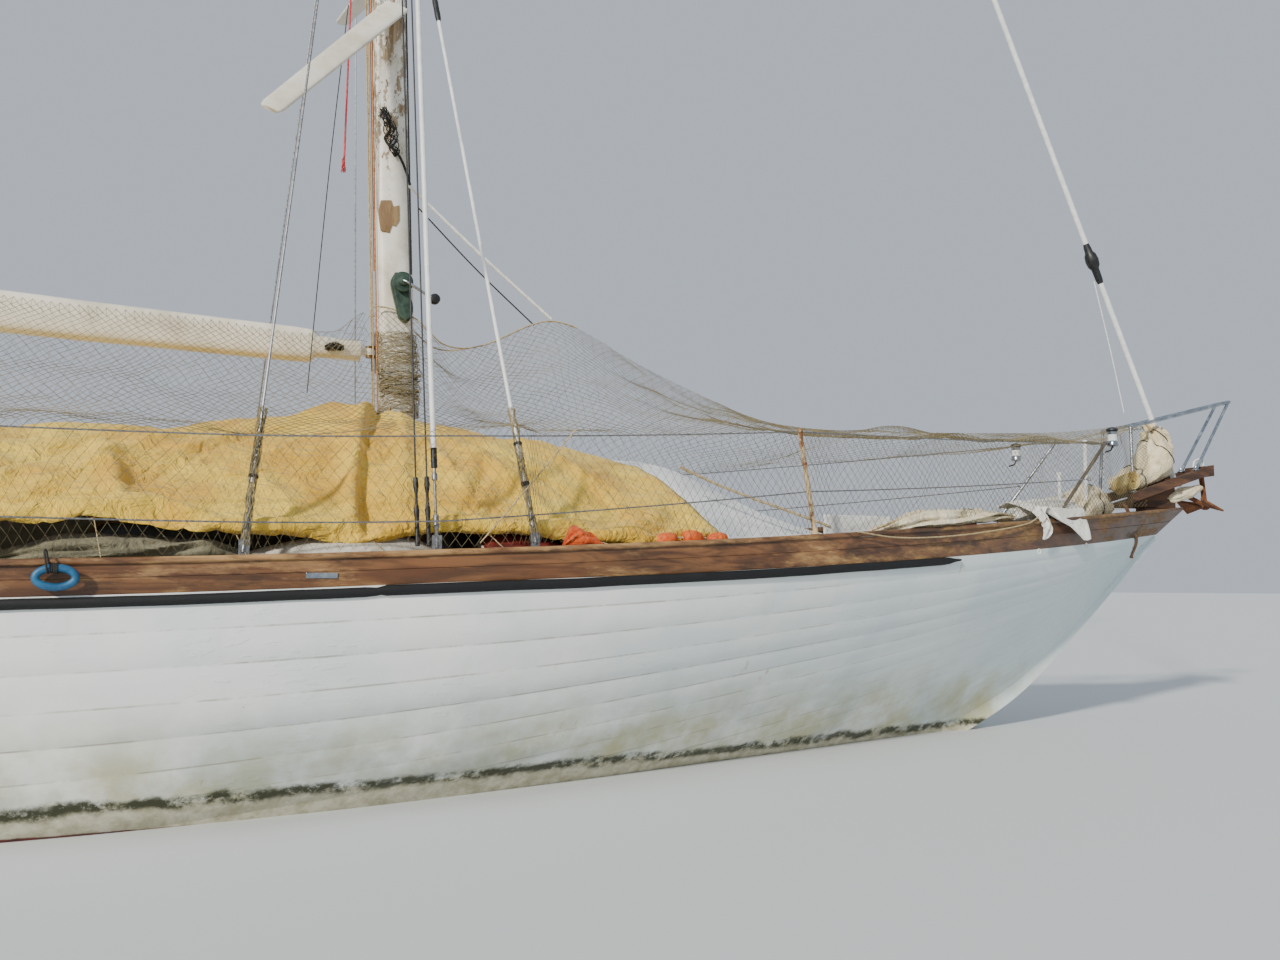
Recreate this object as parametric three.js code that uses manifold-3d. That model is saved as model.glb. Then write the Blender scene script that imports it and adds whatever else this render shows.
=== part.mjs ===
// A wooden yawl afloat, about 14 m long on deck, stripped of sails and covered in harbour.
// Millimetres. +X forward, +Y port, +Z up. The origin is on the centreline at the waterline,
// amidships of a 10 m waterline.
import * as THREE from 'three';
import { mergeVertices } from 'three/addons/utils/BufferGeometryUtils.js';
import Module from 'manifold-3d';

const wasm = await Module();
wasm.setup();

// Driving dimensions

const GAP = 0.3; // between pieces that touch
const WELD = 0.04; // corners of a cut solid closer than this become one

const STERN_X = -7100;
const BOW_X = 6790; // where the stem meets the sheer
const STEM_HEAD_X = 7035;
const PLANK_TOP = 45; // height of the flat strip below the sheer
const KEEL_TIMBER = 50; // the backbone stands this far out of the planking
const STEM_HALF = 50;
const SOLE_Z = -2140;
const DECK_THICK = 35;
const CAMBER = 0.045; // of the half-breadth
const BULWARK_THICK = 45;
const CAP_THICK = 28;
const CAP_OUT = 16; // overhang of the cap rail outside the bulwark
const CAP_IN = 34;

// Hull sections: x, bottom of the canoe body, half-breadth at the sheer, and the two powers
// that shape the side between them
const SECTIONS = [
  { x: -7100, canoe: 760, beam: 400, full: 2.4, hollow: 1.0 },
  { x: -6500, canoe: 560, beam: 760, full: 2.6, hollow: 1.0 },
  { x: -5800, canoe: 330, beam: 1060, full: 2.8, hollow: 1.0 },
  { x: -5000, canoe: 50, beam: 1300, full: 2.95, hollow: 1.0 },
  { x: -4000, canoe: -370, beam: 1515, full: 2.8, hollow: 1.0 },
  { x: -2500, canoe: -840, beam: 1690, full: 2.65, hollow: 1.0 },
  { x: -1000, canoe: -1010, beam: 1725, full: 2.55, hollow: 1.0 },
  { x: 500, canoe: -990, beam: 1690, full: 2.1, hollow: 1.02 },
  { x: 1600, canoe: -885, beam: 1605, full: 1.74, hollow: 1.08 },
  { x: 2800, canoe: -680, beam: 1400, full: 1.5, hollow: 1.15 },
  { x: 4000, canoe: -360, beam: 1100, full: 1.5, hollow: 1.25 },
  { x: 5000, canoe: 50, beam: 800, full: 1.5, hollow: 1.3 },
  { x: 5485, canoe: 306, beam: 630, full: 1.5, hollow: 1.3 },
  { x: 6013, canoe: 730, beam: 415, full: 1.5, hollow: 1.3 },
  { x: 6500, canoe: 1147, beam: 190, full: 1.5, hollow: 1.3 },
  { x: 6790, canoe: 1395, beam: 62, full: 1.5, hollow: 1.3 },
];

// Long keel: x, bottom, half thickness
const KEEL = [
  { x: -4400, bottom: -240, half: 50 },
  { x: -3750, bottom: SOLE_Z, half: 52 },
  { x: -2500, bottom: SOLE_Z, half: 110 },
  { x: -1000, bottom: SOLE_Z, half: 150 },
  { x: 400, bottom: SOLE_Z, half: 140 },
  { x: 900, bottom: -2000, half: 120 },
  { x: 1400, bottom: -1700, half: 100 },
  { x: 2000, bottom: -1290, half: 75 },
  { x: 2600, bottom: -950, half: 60 },
  { x: 3200, bottom: -660, half: 52 },
];
const BALLAST = { aft: -2600, fore: 1300, top: -1620 };

const STATIONS = [
  -7100, -6800, -6500, -6150, -5800, -5400, -5000, -4700, -4400, -4240, -4080, -3920, -3750,
  -3400, -3000, -2500, -2000, -1500, -1000, -500, 0, 400, 900, 1400, 2000, 2600, 3200, 3700,
  4200, 4650, 5000, 5300, 5650, 6013, 6300, 6550, 6700, 6790,
];

// Rudder: the stock leans aft; lengths are along the stock from the heel
const RUDDER = {
  heelX: -3830, heelZ: SOLE_Z, rake: Math.atan(0.355), stock: 34, trunk: 46, blade: 32,
  headLength: 3640, foot: 12.4,
};
const TILLER = { length: 1300, rise: 0.13, root: 42, tip: 20 };

// Propeller, in an opening cut in the deadwood
const PROPELLER = { x: -3905, z: -1120, radius: 225, shaft: 18.4, bearing: 19, hub: 42 };
const APERTURE = { fore: -3700, aft: -4300, bottom: -1410, top: -830 };

// Deck openings
const WELL = { aft: -4400, fore: -3250, half: 400, sole: 250 };
const CABIN = { aft: -2880, fore: 560, half: 640, sole: -350 };
const FOREHATCH = { aft: 3950, fore: 4480, half: 265, depth: 700, wall: 32, height: 100 };

// Cabin trunk
const TRUNK = { aft: -2950, fore: 640, halfAft: 930, halfFore: 800, wall: 40, roofSide: 1440 };
const ROOF = { thick: 32, camber: 95, overhang: 22 };
const WINDOWS = { xs: [-2250, -1250, -300], length: 420, height: 130, z: 1235 };
const COMPANION = { half: 310, sill: 60, roofFore: -2300 };
const DOOR = { width: 336, thick: 25, foot: 1140, head: 1470, knuckle: 9, axisOut: 330 };
const SLIDE = { length: 740, half: 350, thick: 26, travel: 500 };
const ENGINE = { length: 800, width: 500, height: 600 };

const COAMING = { aft: -5300, fore: TRUNK.aft, half: 960, height: 190, thick: 30 };

// Main mast, measured along the mast from its heel on deck
const MAST = { x: 1012, rake: Math.atan(0.04), length: 16130, fore: 100, side: 95 };
const MAST_TAPER = [
  { up: 0, scale: 1 },
  { up: 9500, scale: 0.95 },
  { up: 13500, scale: 0.8 },
  { up: 16130, scale: 0.6 },
];
const BOOM = { up: 1255, reach: 45, length: 5180, tilt: 0.0755 };

// Mizzen mast and boom
const MIZZEN = { x: -5930, length: 7200, radius: 62, tip: 38 };
const MIZZEN_BOOM = { z: 2080, length: 2200, radius: 42, reach: 34 };

// Wires: where each meets the rail or deck, and how high up the mast it is made fast
const SHROUDS = [
  { name: 'aft_lower_shroud', x: 140, up: 6500 },
  { name: 'fore_lower_shroud', x: 1400, up: 5080 },
  { name: 'cap_shroud', x: 940, up: 15650 },
];
const FORESTAY = { footX: 7085, footZ: 1815, up: 15900, radius: 21 };
const BACKSTAY = { x: -6480, up: 15950 };
const MIZZEN_SHROUDS = { up: 5500, foreX: -5500, aftX: -6330 };

// Lifelines: x, height of the upper and lower wire; posts stand where post is true
const LIFELINES = [
  { x: -6680, upper: 1700, lower: 1400, post: true },
  { x: -5850, upper: 1665, lower: 1365, post: true },
  { x: -5000, upper: 1640, lower: 1340, post: true },
  { x: -3500, upper: 1620, lower: 1310, post: true },
  { x: -2000, upper: 1620, lower: 1290, post: true },
  { x: 130, upper: 1625, lower: 1265, post: false },
  { x: 970, upper: 1670, lower: 1290, post: false },
  { x: 3020, upper: 1830, lower: 1510, post: true, lean: -95 },
];
const BOW_STRUT = {
  starboard: { x: 5225, upper: 2025, lower: 1735, post: true, lean: 700 },
  port: { x: 5760, upper: 2150, lower: 1800, post: true, lean: 450 },
};
const POST_RADIUS = 12.5;
const POST_BASE = 24;
const OUTBOARD = 14; // the lifelines stand outboard of the rail's middle, the chainplates inboard
const LIFELINE_RADIUS = 4;

// Colours of the finishes: colour, roughness, metalness
const FINISH = {
  topsides: [0xd9dcda, 0.55, 0], iron: [0x5a2a22, 0.8, 0.1], deck: [0xb9ad94, 0.8, 0],
  rubber: [0x14161a, 0.7, 0], varnish: [0x7c4a2b, 0.55, 0], trunk: [0xb8bab7, 0.6, 0],
  spar: [0xe6e2d8, 0.6, 0], wire: [0x9a9a96, 0.35, 0.9], steel: [0xb4b8bc, 0.2, 1],
  tarp: [0xe2b85c, 0.85, 0], canvas: [0xd9cfb8, 0.85, 0], sheet: [0xc9d0d6, 0.8, 0],
  red: [0x5c1d1a, 0.6, 0], bronze: [0x9a7436, 0.4, 0.9], rust: [0x7a4a2c, 0.9, 0.3],
  timber: [0x4c2c1e, 0.75, 0], engine: [0x4a5a52, 0.6, 0.3], winch: [0x3c5248, 0.5, 0.4],
};

// Smooth value of one column of a table at x
function curve(table, x, column) {
  const last = table.length - 1;
  if (x <= table[0].x) return table[0][column];
  if (x >= table[last].x) return table[last][column];
  let i = 0;
  while (table[i + 1].x < x) i++;
  const slope = (k) => {
    const a = table[Math.max(k - 1, 0)];
    const b = table[Math.min(k + 1, last)];
    return (b[column] - a[column]) / (b.x - a.x);
  };
  const span = table[i + 1].x - table[i].x;
  const t = (x - table[i].x) / span;
  const rise = [2 * t ** 3 - 3 * t ** 2 + 1, t ** 3 - 2 * t ** 2 + t];
  const fall = [-2 * t ** 3 + 3 * t ** 2, t ** 3 - t ** 2];
  return rise[0] * table[i][column] + rise[1] * span * slope(i)
    + fall[0] * table[i + 1][column] + fall[1] * span * slope(i + 1);
}

// Straight-line value of one column of a table, by the key column
function along(table, key, at, column) {
  const last = table.length - 1;
  if (at <= table[0][key]) return table[0][column];
  if (at >= table[last][key]) return table[last][column];
  let i = 0;
  while (table[i + 1][key] < at) i++;
  const t = (at - table[i][key]) / (table[i + 1][key] - table[i][key]);
  return table[i][column] * (1 - t) + table[i + 1][column] * t;
}

// Lines of the hull

const railTop = (x) => 1075 + 0.0057 * ((x + 3000) ** 2) / 1000;
const bulwarkHeight = (x) => 145 + 0.0125 * Math.max(0, x - 1000);
const sheer = (x) => railTop(x) - bulwarkHeight(x);
const beam = (x) => curve(SECTIONS, x, 'beam');
const canoe = (x) => curve(SECTIONS, x, 'canoe');

function bottom(x) {
  const timber = canoe(x) - KEEL_TIMBER;
  const inKeel = x >= KEEL[0].x && x <= KEEL[KEEL.length - 1].x;
  return inKeel ? Math.min(timber, along(KEEL, 'x', x, 'bottom')) : timber;
}

function halfBreadth(x, z) {
  const low = canoe(x);
  const keel = along(KEEL, 'x', x, 'half');
  if (z <= low) return keel;
  const up = Math.min(1, (z - low) / (sheer(x) - low));
  const full = curve(SECTIONS, x, 'full');
  const hollow = curve(SECTIONS, x, 'hollow');
  const skin = beam(x) * (1 - (1 - up ** hollow) ** full);
  return Math.hypot(skin, keel * (1 - up));
}

const deckEdge = (x) => beam(x) - BULWARK_THICK;
const DECK_FRACTIONS = [-1, -0.67, -0.33, 0, 0.33, 0.67, 1];
const camberAt = (x, fraction) => CAMBER * beam(x) * (1 - fraction ** 2);
const deckTop = (x, y) => sheer(x) + camberAt(x, y / deckEdge(x)) + DECK_THICK + GAP;

// How far the bulwark's top leans out and rakes forward over its foot
const bowShare = (x) => THREE.MathUtils.clamp((x - 3500) / (BOW_X - 3500), 0, 1) ** 2;
const lean = (x) => 30 * bowShare(x);
const rakeForward = (x) => (STEM_HEAD_X - BOW_X) * bowShare(x);

// Solids

const STEPS = [-1, 0, 1];
const NEIGHBOURS = STEPS.flatMap((x) => STEPS.flatMap((y) => STEPS.map((z) => [x, y, z])));

function solid(geometry) {
  const bare = geometry.clone();
  bare.deleteAttribute('normal');
  bare.deleteAttribute('uv');
  const merged = mergeVertices(bare, 1e-3);
  return new wasm.Manifold(new wasm.Mesh({
    numProp: 3,
    vertProperties: new Float32Array(merged.attributes.position.array),
    triVerts: new Uint32Array(merged.index.array),
  }));
}

// The cut solid as a geometry, with corners closer than WELD drawn together and the faces
// that this flattens left out
function geometryOf(body) {
  const mesh = body.getMesh();
  const corner = (i) => mesh.vertProperties.subarray(3 * i, 3 * i + 3);
  const kept = new Map();
  const cell = (p, dx, dy, dz) =>
    `${Math.floor(p[0] / WELD) + dx},${Math.floor(p[1] / WELD) + dy},${Math.floor(p[2] / WELD) + dz}`;
  const near = (p) => {
    for (const [dx, dy, dz] of NEIGHBOURS) {
      const other = kept.get(cell(p, dx, dy, dz));
      if (other !== undefined) {
        const q = corner(other);
        if (Math.hypot(p[0] - q[0], p[1] - q[1], p[2] - q[2]) < WELD) return other;
      }
    }
    return undefined;
  };
  const welded = Array.from({ length: mesh.vertProperties.length / 3 }, (_, i) => {
    const p = corner(i);
    const other = near(p);
    if (other !== undefined) return other;
    kept.set(cell(p, 0, 0, 0), i);
    return i;
  });
  const faces = [];
  for (let t = 0; t < mesh.triVerts.length; t += 3) {
    const [a, b, c] = [0, 1, 2].map((k) => welded[mesh.triVerts[t + k]]);
    if (a !== b && b !== c && c !== a) faces.push(a, b, c);
  }
  const geometry = new THREE.BufferGeometry();
  geometry.setAttribute('position', new THREE.BufferAttribute(mesh.vertProperties, 3));
  geometry.setIndex(faces);
  geometry.computeVertexNormals();
  return geometry;
}

const fuse = (...parts) => geometryOf(parts.map(solid).reduce((all, one) => all.add(one)));
const cut = (base, ...tools) =>
  geometryOf(tools.reduce((left, tool) => left.subtract(solid(tool)), solid(base)));
const common = (a, b) => geometryOf(solid(a).intersect(solid(b)));

// Triangles that close one end of a loft
function endCap(ring) {
  const normal = new THREE.Vector3();
  ring.forEach((p, i) => {
    const q = ring[(i + 1) % ring.length];
    normal.x += (p[1] - q[1]) * (p[2] + q[2]);
    normal.y += (p[2] - q[2]) * (p[0] + q[0]);
    normal.z += (p[0] - q[0]) * (p[1] + q[1]);
  });
  const size = [Math.abs(normal.x), Math.abs(normal.y), Math.abs(normal.z)];
  const drop = size.indexOf(Math.max(...size));
  const flat = ring.map((p) => new THREE.Vector2(p[(drop + 1) % 3], p[(drop + 2) % 3]));
  return THREE.ShapeUtils.triangulateShape(flat, []);
}

// A closed solid through rings of points, each ring with as many points as the next
function loft(rings) {
  const count = rings[0].length;
  const triangles = [];
  for (let r = 0; r + 1 < rings.length; r++) {
    for (let i = 0; i < count; i++) {
      const a = r * count + i;
      const b = r * count + ((i + 1) % count);
      triangles.push([a, b, b + count], [a, b + count, a + count]);
    }
  }
  const close = (ring, start, wanted) => {
    const faces = endCap(ring);
    const runs = faces.some((f) => f.some((v, k) => v === 0 && f[(k + 1) % 3] === 1));
    for (const face of faces) {
      const ordered = runs === wanted ? face : [face[0], face[2], face[1]];
      triangles.push(ordered.map((v) => v + start));
    }
  };
  close(rings[0], 0, false);
  close(rings[rings.length - 1], (rings.length - 1) * count, true);
  const points = rings.flat();
  const volume = triangles.reduce((sum, [a, b, c]) => {
    const [p, q, r] = [points[a], points[b], points[c]];
    return sum + p[0] * (q[1] * r[2] - q[2] * r[1]) + p[1] * (q[2] * r[0] - q[0] * r[2])
      + p[2] * (q[0] * r[1] - q[1] * r[0]);
  }, 0);
  const facing = volume > 0 ? triangles : triangles.map(([a, b, c]) => [a, c, b]);
  const geometry = new THREE.BufferGeometry();
  geometry.setAttribute('position', new THREE.Float32BufferAttribute(points.flat(), 3));
  geometry.setIndex(facing.flat());
  return geometry;
}

const box = (x0, x1, y0, y1, z0, z1) => new THREE.BoxGeometry(x1 - x0, y1 - y0, z1 - z0)
  .translate((x0 + x1) / 2, (y0 + y1) / 2, (z0 + z1) / 2);

// A round bar from one point to another
function rod(from, to, radius, endRadius = radius, sides = 8) {
  const a = new THREE.Vector3(...from);
  const b = new THREE.Vector3(...to);
  const way = b.clone().sub(a);
  const turn = new THREE.Quaternion().setFromUnitVectors(
    new THREE.Vector3(0, 1, 0), way.clone().normalize());
  return new THREE.CylinderGeometry(endRadius, radius, way.length(), sides)
    .applyQuaternion(turn).translate(...a.add(b).multiplyScalar(0.5).toArray());
}

// A ball that joins two rods
const knob = (at, radius) => new THREE.SphereGeometry(radius, 6, 4).translate(...at);

// A bent tube through a list of points
function tube(points, radius, sides = 6) {
  const bits = [];
  for (let i = 0; i + 1 < points.length; i++) {
    bits.push(rod(points[i], points[i + 1], radius, radius, sides));
    if (i > 0) bits.push(knob(points[i], radius * 1.08));
  }
  return fuse(...bits);
}

// A side view outline in X and Z, made as thick as asked across the boat
function slab(outline, half) {
  const shape = new THREE.Shape(outline.map(([x, z]) => new THREE.Vector2(x, z)));
  return new THREE.ExtrudeGeometry(shape, { depth: 2 * half, bevelEnabled: false })
    .rotateX(Math.PI / 2).translate(0, half, 0);
}

// A mirrored copy, for the other side of the boat
function mirrored(geometry) {
  const copy = geometry.clone().applyMatrix4(new THREE.Matrix4().makeScale(1, -1, 1));
  const index = copy.index ?? new THREE.BufferAttribute(
    Uint32Array.from({ length: copy.attributes.position.count }, (_, i) => i), 1);
  const flipped = Uint32Array.from(index.array);
  for (let i = 0; i < flipped.length; i += 3) {
    [flipped[i + 1], flipped[i + 2]] = [flipped[i + 2], flipped[i + 1]];
  }
  copy.setIndex(new THREE.BufferAttribute(flipped, 1));
  return copy;
}

const yawl = new THREE.Group();

function piece(name, geometry, finish, parent = yawl) {
  const [color, roughness, metalness] = FINISH[finish];
  const material = new THREE.MeshStandardMaterial({ color, roughness, metalness });
  const mesh = new THREE.Mesh(geometry, material);
  mesh.name = name;
  parent.add(mesh);
  return mesh;
}

// One piece on each side; the geometry is made for port
function pair(name, geometry, finish, parent = yawl) {
  piece(`${name}_port`, geometry, finish, parent);
  piece(`${name}_starboard`, mirrored(geometry), finish, parent);
}

// Hull

const FIN_LEVELS = 3;
const SKIN_LEVELS = 11;

function hullRing(x) {
  const low = bottom(x);
  const middle = canoe(x);
  const top = sheer(x);
  const levels = [];
  for (let i = 0; i < FIN_LEVELS; i++) levels.push(low + (middle - low) * (i / FIN_LEVELS));
  const high = top - Math.min(PLANK_TOP, 0.3 * (top - middle));
  for (let i = 0; i <= SKIN_LEVELS; i++) {
    levels.push(middle + (high - middle) * (i / SKIN_LEVELS) ** 1.35);
  }
  levels.push(top);
  const side = levels.map((z) => [halfBreadth(x, z), z]);
  const across = DECK_FRACTIONS.map((f) => [x, f * deckEdge(x), top + camberAt(x, f)]);
  return [
    ...side.map(([y, z]) => [x, -y, z]),
    ...across,
    ...side.reverse().map(([y, z]) => [x, y, z]),
  ];
}

// A block that follows the deck from one height above it to another
function deckBlock(from, to, low, high, edge = (x) => deckEdge(x) - 2 * GAP) {
  const stops = [from, ...STATIONS.filter((x) => x > from && x < to), to];
  return loft(stops.map((x) => {
    const rows = DECK_FRACTIONS.map((f) => [x, f * edge(x), sheer(x) + camberAt(x, f)]);
    return [
      ...rows.map(([px, py, pz]) => [px, py, pz + low]),
      ...rows.reverse().map(([px, py, pz]) => [px, py, pz + high]),
    ];
  }));
}

// Everything from below the deck to just above it, for trimming what stands on deck
const underDeck = deckBlock(STERN_X + 10, 6600, -1500, DECK_THICK + 2 * GAP);
const onDeck = (geometry) => cut(geometry, underDeck);

const rudderTurn = new THREE.Matrix4().makeRotationY(-RUDDER.rake)
  .setPosition(RUDDER.heelX, 0, RUDDER.heelZ);
const rudderTrunk = rod([0, 0, 1500], [0, 0, RUDDER.headLength], RUDDER.trunk, RUDDER.trunk, 24)
  .applyMatrix4(rudderTurn);

const wellPit = box(WELL.aft, WELL.fore, -WELL.half, WELL.half, WELL.sole, 2000);
const cabinPit = box(CABIN.aft, CABIN.fore, -CABIN.half, CABIN.half, CABIN.sole, 2000);
const hatchPit = box(FOREHATCH.aft, FOREHATCH.fore, -FOREHATCH.half, FOREHATCH.half,
  deckTop(FOREHATCH.aft, 0) - FOREHATCH.depth, 2000);

const wholeHull = loft(STATIONS.map(hullRing));
const shaftHole = rod([PROPELLER.x, 0, PROPELLER.z], [PROPELLER.x + 600, 0, PROPELLER.z],
  PROPELLER.bearing, PROPELLER.bearing, 32);
const aperture = box(APERTURE.aft, APERTURE.fore, -300, 300, APERTURE.bottom, APERTURE.top);
const ballastSlot = box(BALLAST.aft, BALLAST.fore, -400, 400, SOLE_Z - 100, BALLAST.top);
const ballastBlock = box(BALLAST.aft + GAP, BALLAST.fore - GAP, -400, 400, SOLE_Z - 100,
  BALLAST.top - GAP);

piece('hull', cut(wholeHull, wellPit, cabinPit, hatchPit, rudderTrunk, shaftHole, aperture,
  ballastSlot), 'topsides');
piece('ballast_keel', common(wholeHull, ballastBlock), 'iron');

// Deck, bulwarks and rails

piece('deck', cut(deckBlock(STERN_X + BULWARK_THICK + 1, 6550, GAP, DECK_THICK + GAP),
  wellPit, cabinPit, hatchPit, rudderTrunk), 'deck');

// A strip of timber along the sheer, between two offsets from the hull's edge
function sheerStrip(from, to, inner, outer, foot, head, raked = 1) {
  const stops = [from, ...STATIONS.filter((x) => x > from && x < to), to];
  return loft(stops.map((x) => {
    const low = [x + raked * rakeForward(x) * foot.share, beam(x) + lean(x) * foot.share];
    const high = [x + raked * rakeForward(x) * head.share, beam(x) + lean(x) * head.share];
    const inside = (y) => Math.max(y - inner, STEM_HALF + GAP);
    const outside = (y) => Math.max(y + outer, STEM_HALF + GAP + 6);
    return [
      [low[0], inside(low[1]), foot.z(x)], [low[0], outside(low[1]), foot.z(x)],
      [high[0], outside(high[1]), head.z(x)], [high[0], inside(high[1]), head.z(x)],
    ];
  }));
}

const bulwarkTop = (x) => railTop(x) - CAP_THICK;
const bulwark = sheerStrip(STERN_X, BOW_X, BULWARK_THICK, 0,
  { share: 0, z: (x) => sheer(x) + GAP }, { share: 1, z: bulwarkTop });
pair('bulwark', bulwark, 'varnish');

const capRail = (grow) => sheerStrip(STERN_X, BOW_X - 10, BULWARK_THICK + CAP_IN + grow,
  CAP_OUT + grow, { share: 1, z: (x) => bulwarkTop(x) + GAP - grow },
  { share: 1, z: (x) => railTop(x) + GAP + grow });
pair('cap_rail', capRail(0), 'varnish');

// The black rubbing strake ends well short of the stem
const STRAKE_END = 4200;
const STRAKE_GAP = 0.6;
const strakeTop = (x) => sheer(x) - 3;
const strakeFoot = (x) => sheer(x) - PLANK_TOP + 2;
const strakeStops = STATIONS.filter((x) => x <= STRAKE_END);
const strake = loft(strakeStops.map((x) => {
  const flare = (z) => halfBreadth(x, sheer(x) - PLANK_TOP)
    + (beam(x) - halfBreadth(x, sheer(x) - PLANK_TOP)) * ((z - sheer(x)) / PLANK_TOP + 1);
  const [head, foot] = [strakeTop(x), strakeFoot(x)];
  const middle = (head + foot) / 2;
  return [
    [x, flare(foot) + STRAKE_GAP, foot], [x, flare(foot) + 17, foot + 4],
    [x, flare(middle) + 24, middle], [x, flare(head) + 17, head - 4], [x, flare(head) + STRAKE_GAP, head],
  ];
}));
pair('rub_strake', cut(strake, wholeHull.clone().translate(0, GAP, 0),
  mirrored(wholeHull).translate(0, GAP, 0)), 'rubber');

// Stem head between the ends of the bulwarks, and the bulwark across the stern
const stemHead = slab([
  [BOW_X - 80, sheer(BOW_X) + 2], [BOW_X - 2, sheer(BOW_X) + 2],
  [STEM_HEAD_X, railTop(BOW_X) + GAP], [BOW_X - 80, railTop(BOW_X) + GAP],
], STEM_HALF);
const foreDeckEnd = cut(stemHead, loft(STATIONS.slice(-4).map((x) => hullRing(x)
  .map(([px, py, pz]) => [px, py, pz + (pz > canoe(x) + 20 ? GAP : 0)]))));
piece('stem_head', foreDeckEnd, 'varnish');

const taffrailHalf = beam(STERN_X) - BULWARK_THICK - GAP;
const taffrail = fuse(
  box(STERN_X, STERN_X + BULWARK_THICK, -taffrailHalf, taffrailHalf,
    sheer(STERN_X) + CAMBER * beam(STERN_X) + GAP, bulwarkTop(STERN_X + 2 * BULWARK_THICK)),
  box(STERN_X, STERN_X + BULWARK_THICK + 20, -taffrailHalf + CAP_IN + GAP,
    taffrailHalf - CAP_IN - GAP, bulwarkTop(STERN_X) - 10, railTop(STERN_X)));
piece('taffrail', taffrail, 'varnish');

// Cabin trunk: sides and front in one, the after bulkhead apart

const trunkHalf = (x) => THREE.MathUtils.mapLinear(x, TRUNK.aft, TRUNK.fore, TRUNK.halfAft,
  TRUNK.halfFore);
const roofRise = (fraction) => ROOF.camber * (1 - fraction ** 2);
const ROOF_FRACTIONS = [-1, -0.8, -0.6, -0.4, -0.2, 0, 0.2, 0.4, 0.6, 0.8, 1];

// A cambered block over the trunk, from one height above the roof's underside to another
function roofBlock(from, to, grow, low, high) {
  return loft([from, to].map((x) => {
    const half = trunkHalf(x) + grow;
    const rows = ROOF_FRACTIONS.map((f) => [x, f * half, TRUNK.roofSide + roofRise(f)]);
    return [
      ...rows.map(([px, py, pz]) => [px, py, pz + low]),
      ...rows.reverse().map(([px, py, pz]) => [px, py, pz + high]),
    ];
  }));
}

const overRoof = roofBlock(TRUNK.aft - 200, TRUNK.fore + 200, ROOF.overhang, -GAP, 900);
const trunkOutside = (x) => [trunkHalf(x), -trunkHalf(x)];
const trunkPlan = new THREE.Shape([
  new THREE.Vector2(TRUNK.aft, trunkOutside(TRUNK.aft)[1]),
  new THREE.Vector2(TRUNK.fore, trunkOutside(TRUNK.fore)[1]),
  new THREE.Vector2(TRUNK.fore, trunkOutside(TRUNK.fore)[0]),
  new THREE.Vector2(TRUNK.aft, trunkOutside(TRUNK.aft)[0]),
  new THREE.Vector2(TRUNK.aft, trunkHalf(TRUNK.aft) - TRUNK.wall),
  new THREE.Vector2(TRUNK.fore - TRUNK.wall, trunkHalf(TRUNK.fore) - TRUNK.wall),
  new THREE.Vector2(TRUNK.fore - TRUNK.wall, TRUNK.wall - trunkHalf(TRUNK.fore)),
  new THREE.Vector2(TRUNK.aft, TRUNK.wall - trunkHalf(TRUNK.aft)),
]);
const trunkWalls = new THREE.ExtrudeGeometry(trunkPlan, { depth: 1000, bevelEnabled: false })
  .translate(0, 0, 800);

// A window with round ends, cut through both sides of the trunk
function windowCut(x) {
  const radius = WINDOWS.height / 2;
  const reach = WINDOWS.length / 2 - radius;
  const shape = new THREE.Shape();
  shape.absarc(reach, 0, radius, -Math.PI / 2, Math.PI / 2);
  shape.absarc(-reach, 0, radius, Math.PI / 2, 1.5 * Math.PI);
  return new THREE.ExtrudeGeometry(shape, { depth: 2400, bevelEnabled: false, curveSegments: 6 })
    .rotateX(Math.PI / 2).translate(x, 1200, WINDOWS.z);
}
piece('cabin_trunk', onDeck(cut(trunkWalls, overRoof, ...WINDOWS.xs.map(windowCut))), 'trunk');

const roofCut = box(TRUNK.aft - 100, COMPANION.roofFore, -COMPANION.half, COMPANION.half, 1300, 1800);
piece('coachroof', cut(roofBlock(TRUNK.aft - ROOF.overhang, TRUNK.fore + ROOF.overhang,
  ROOF.overhang, 0, ROOF.thick), roofCut), 'trunk');

// After bulkhead with the companionway; lugs on it carry the doors
const bulkheadAft = TRUNK.aft + 2;
const bulkheadHalf = trunkHalf(TRUNK.aft + 40) - TRUNK.wall - 2 * GAP;
const doorAxisX = bulkheadAft - 32;
const DOOR_KNUCKLES = [DOOR.foot + 70, DOOR.head - 110];
const KNUCKLE_LENGTH = 40;
const LUG_LENGTH = 14;
const doorLugs = [-1, 1].flatMap((side) => DOOR_KNUCKLES.flatMap((z) =>
  [z - GAP - LUG_LENGTH, z + KNUCKLE_LENGTH + GAP].map((foot) => fuse(
    rod([doorAxisX, side * DOOR.axisOut, foot], [doorAxisX, side * DOOR.axisOut, foot + LUG_LENGTH],
      DOOR.knuckle, DOOR.knuckle, 16),
    box(doorAxisX, bulkheadAft + 1, side * DOOR.axisOut - DOOR.knuckle,
      side * DOOR.axisOut + DOOR.knuckle, foot, foot + LUG_LENGTH)))));
const bulkheadPanel = box(bulkheadAft, bulkheadAft + 38, -bulkheadHalf, bulkheadHalf, 800, 1700);
const companionCut = box(bulkheadAft - 10, bulkheadAft + 60, -COMPANION.half, COMPANION.half,
  deckTop(TRUNK.aft, 0) + COMPANION.sill, 1900);
piece('companionway_bulkhead', onDeck(fuse(cut(bulkheadPanel, overRoof, companionCut), ...doorLugs)),
  'trunk');

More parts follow.
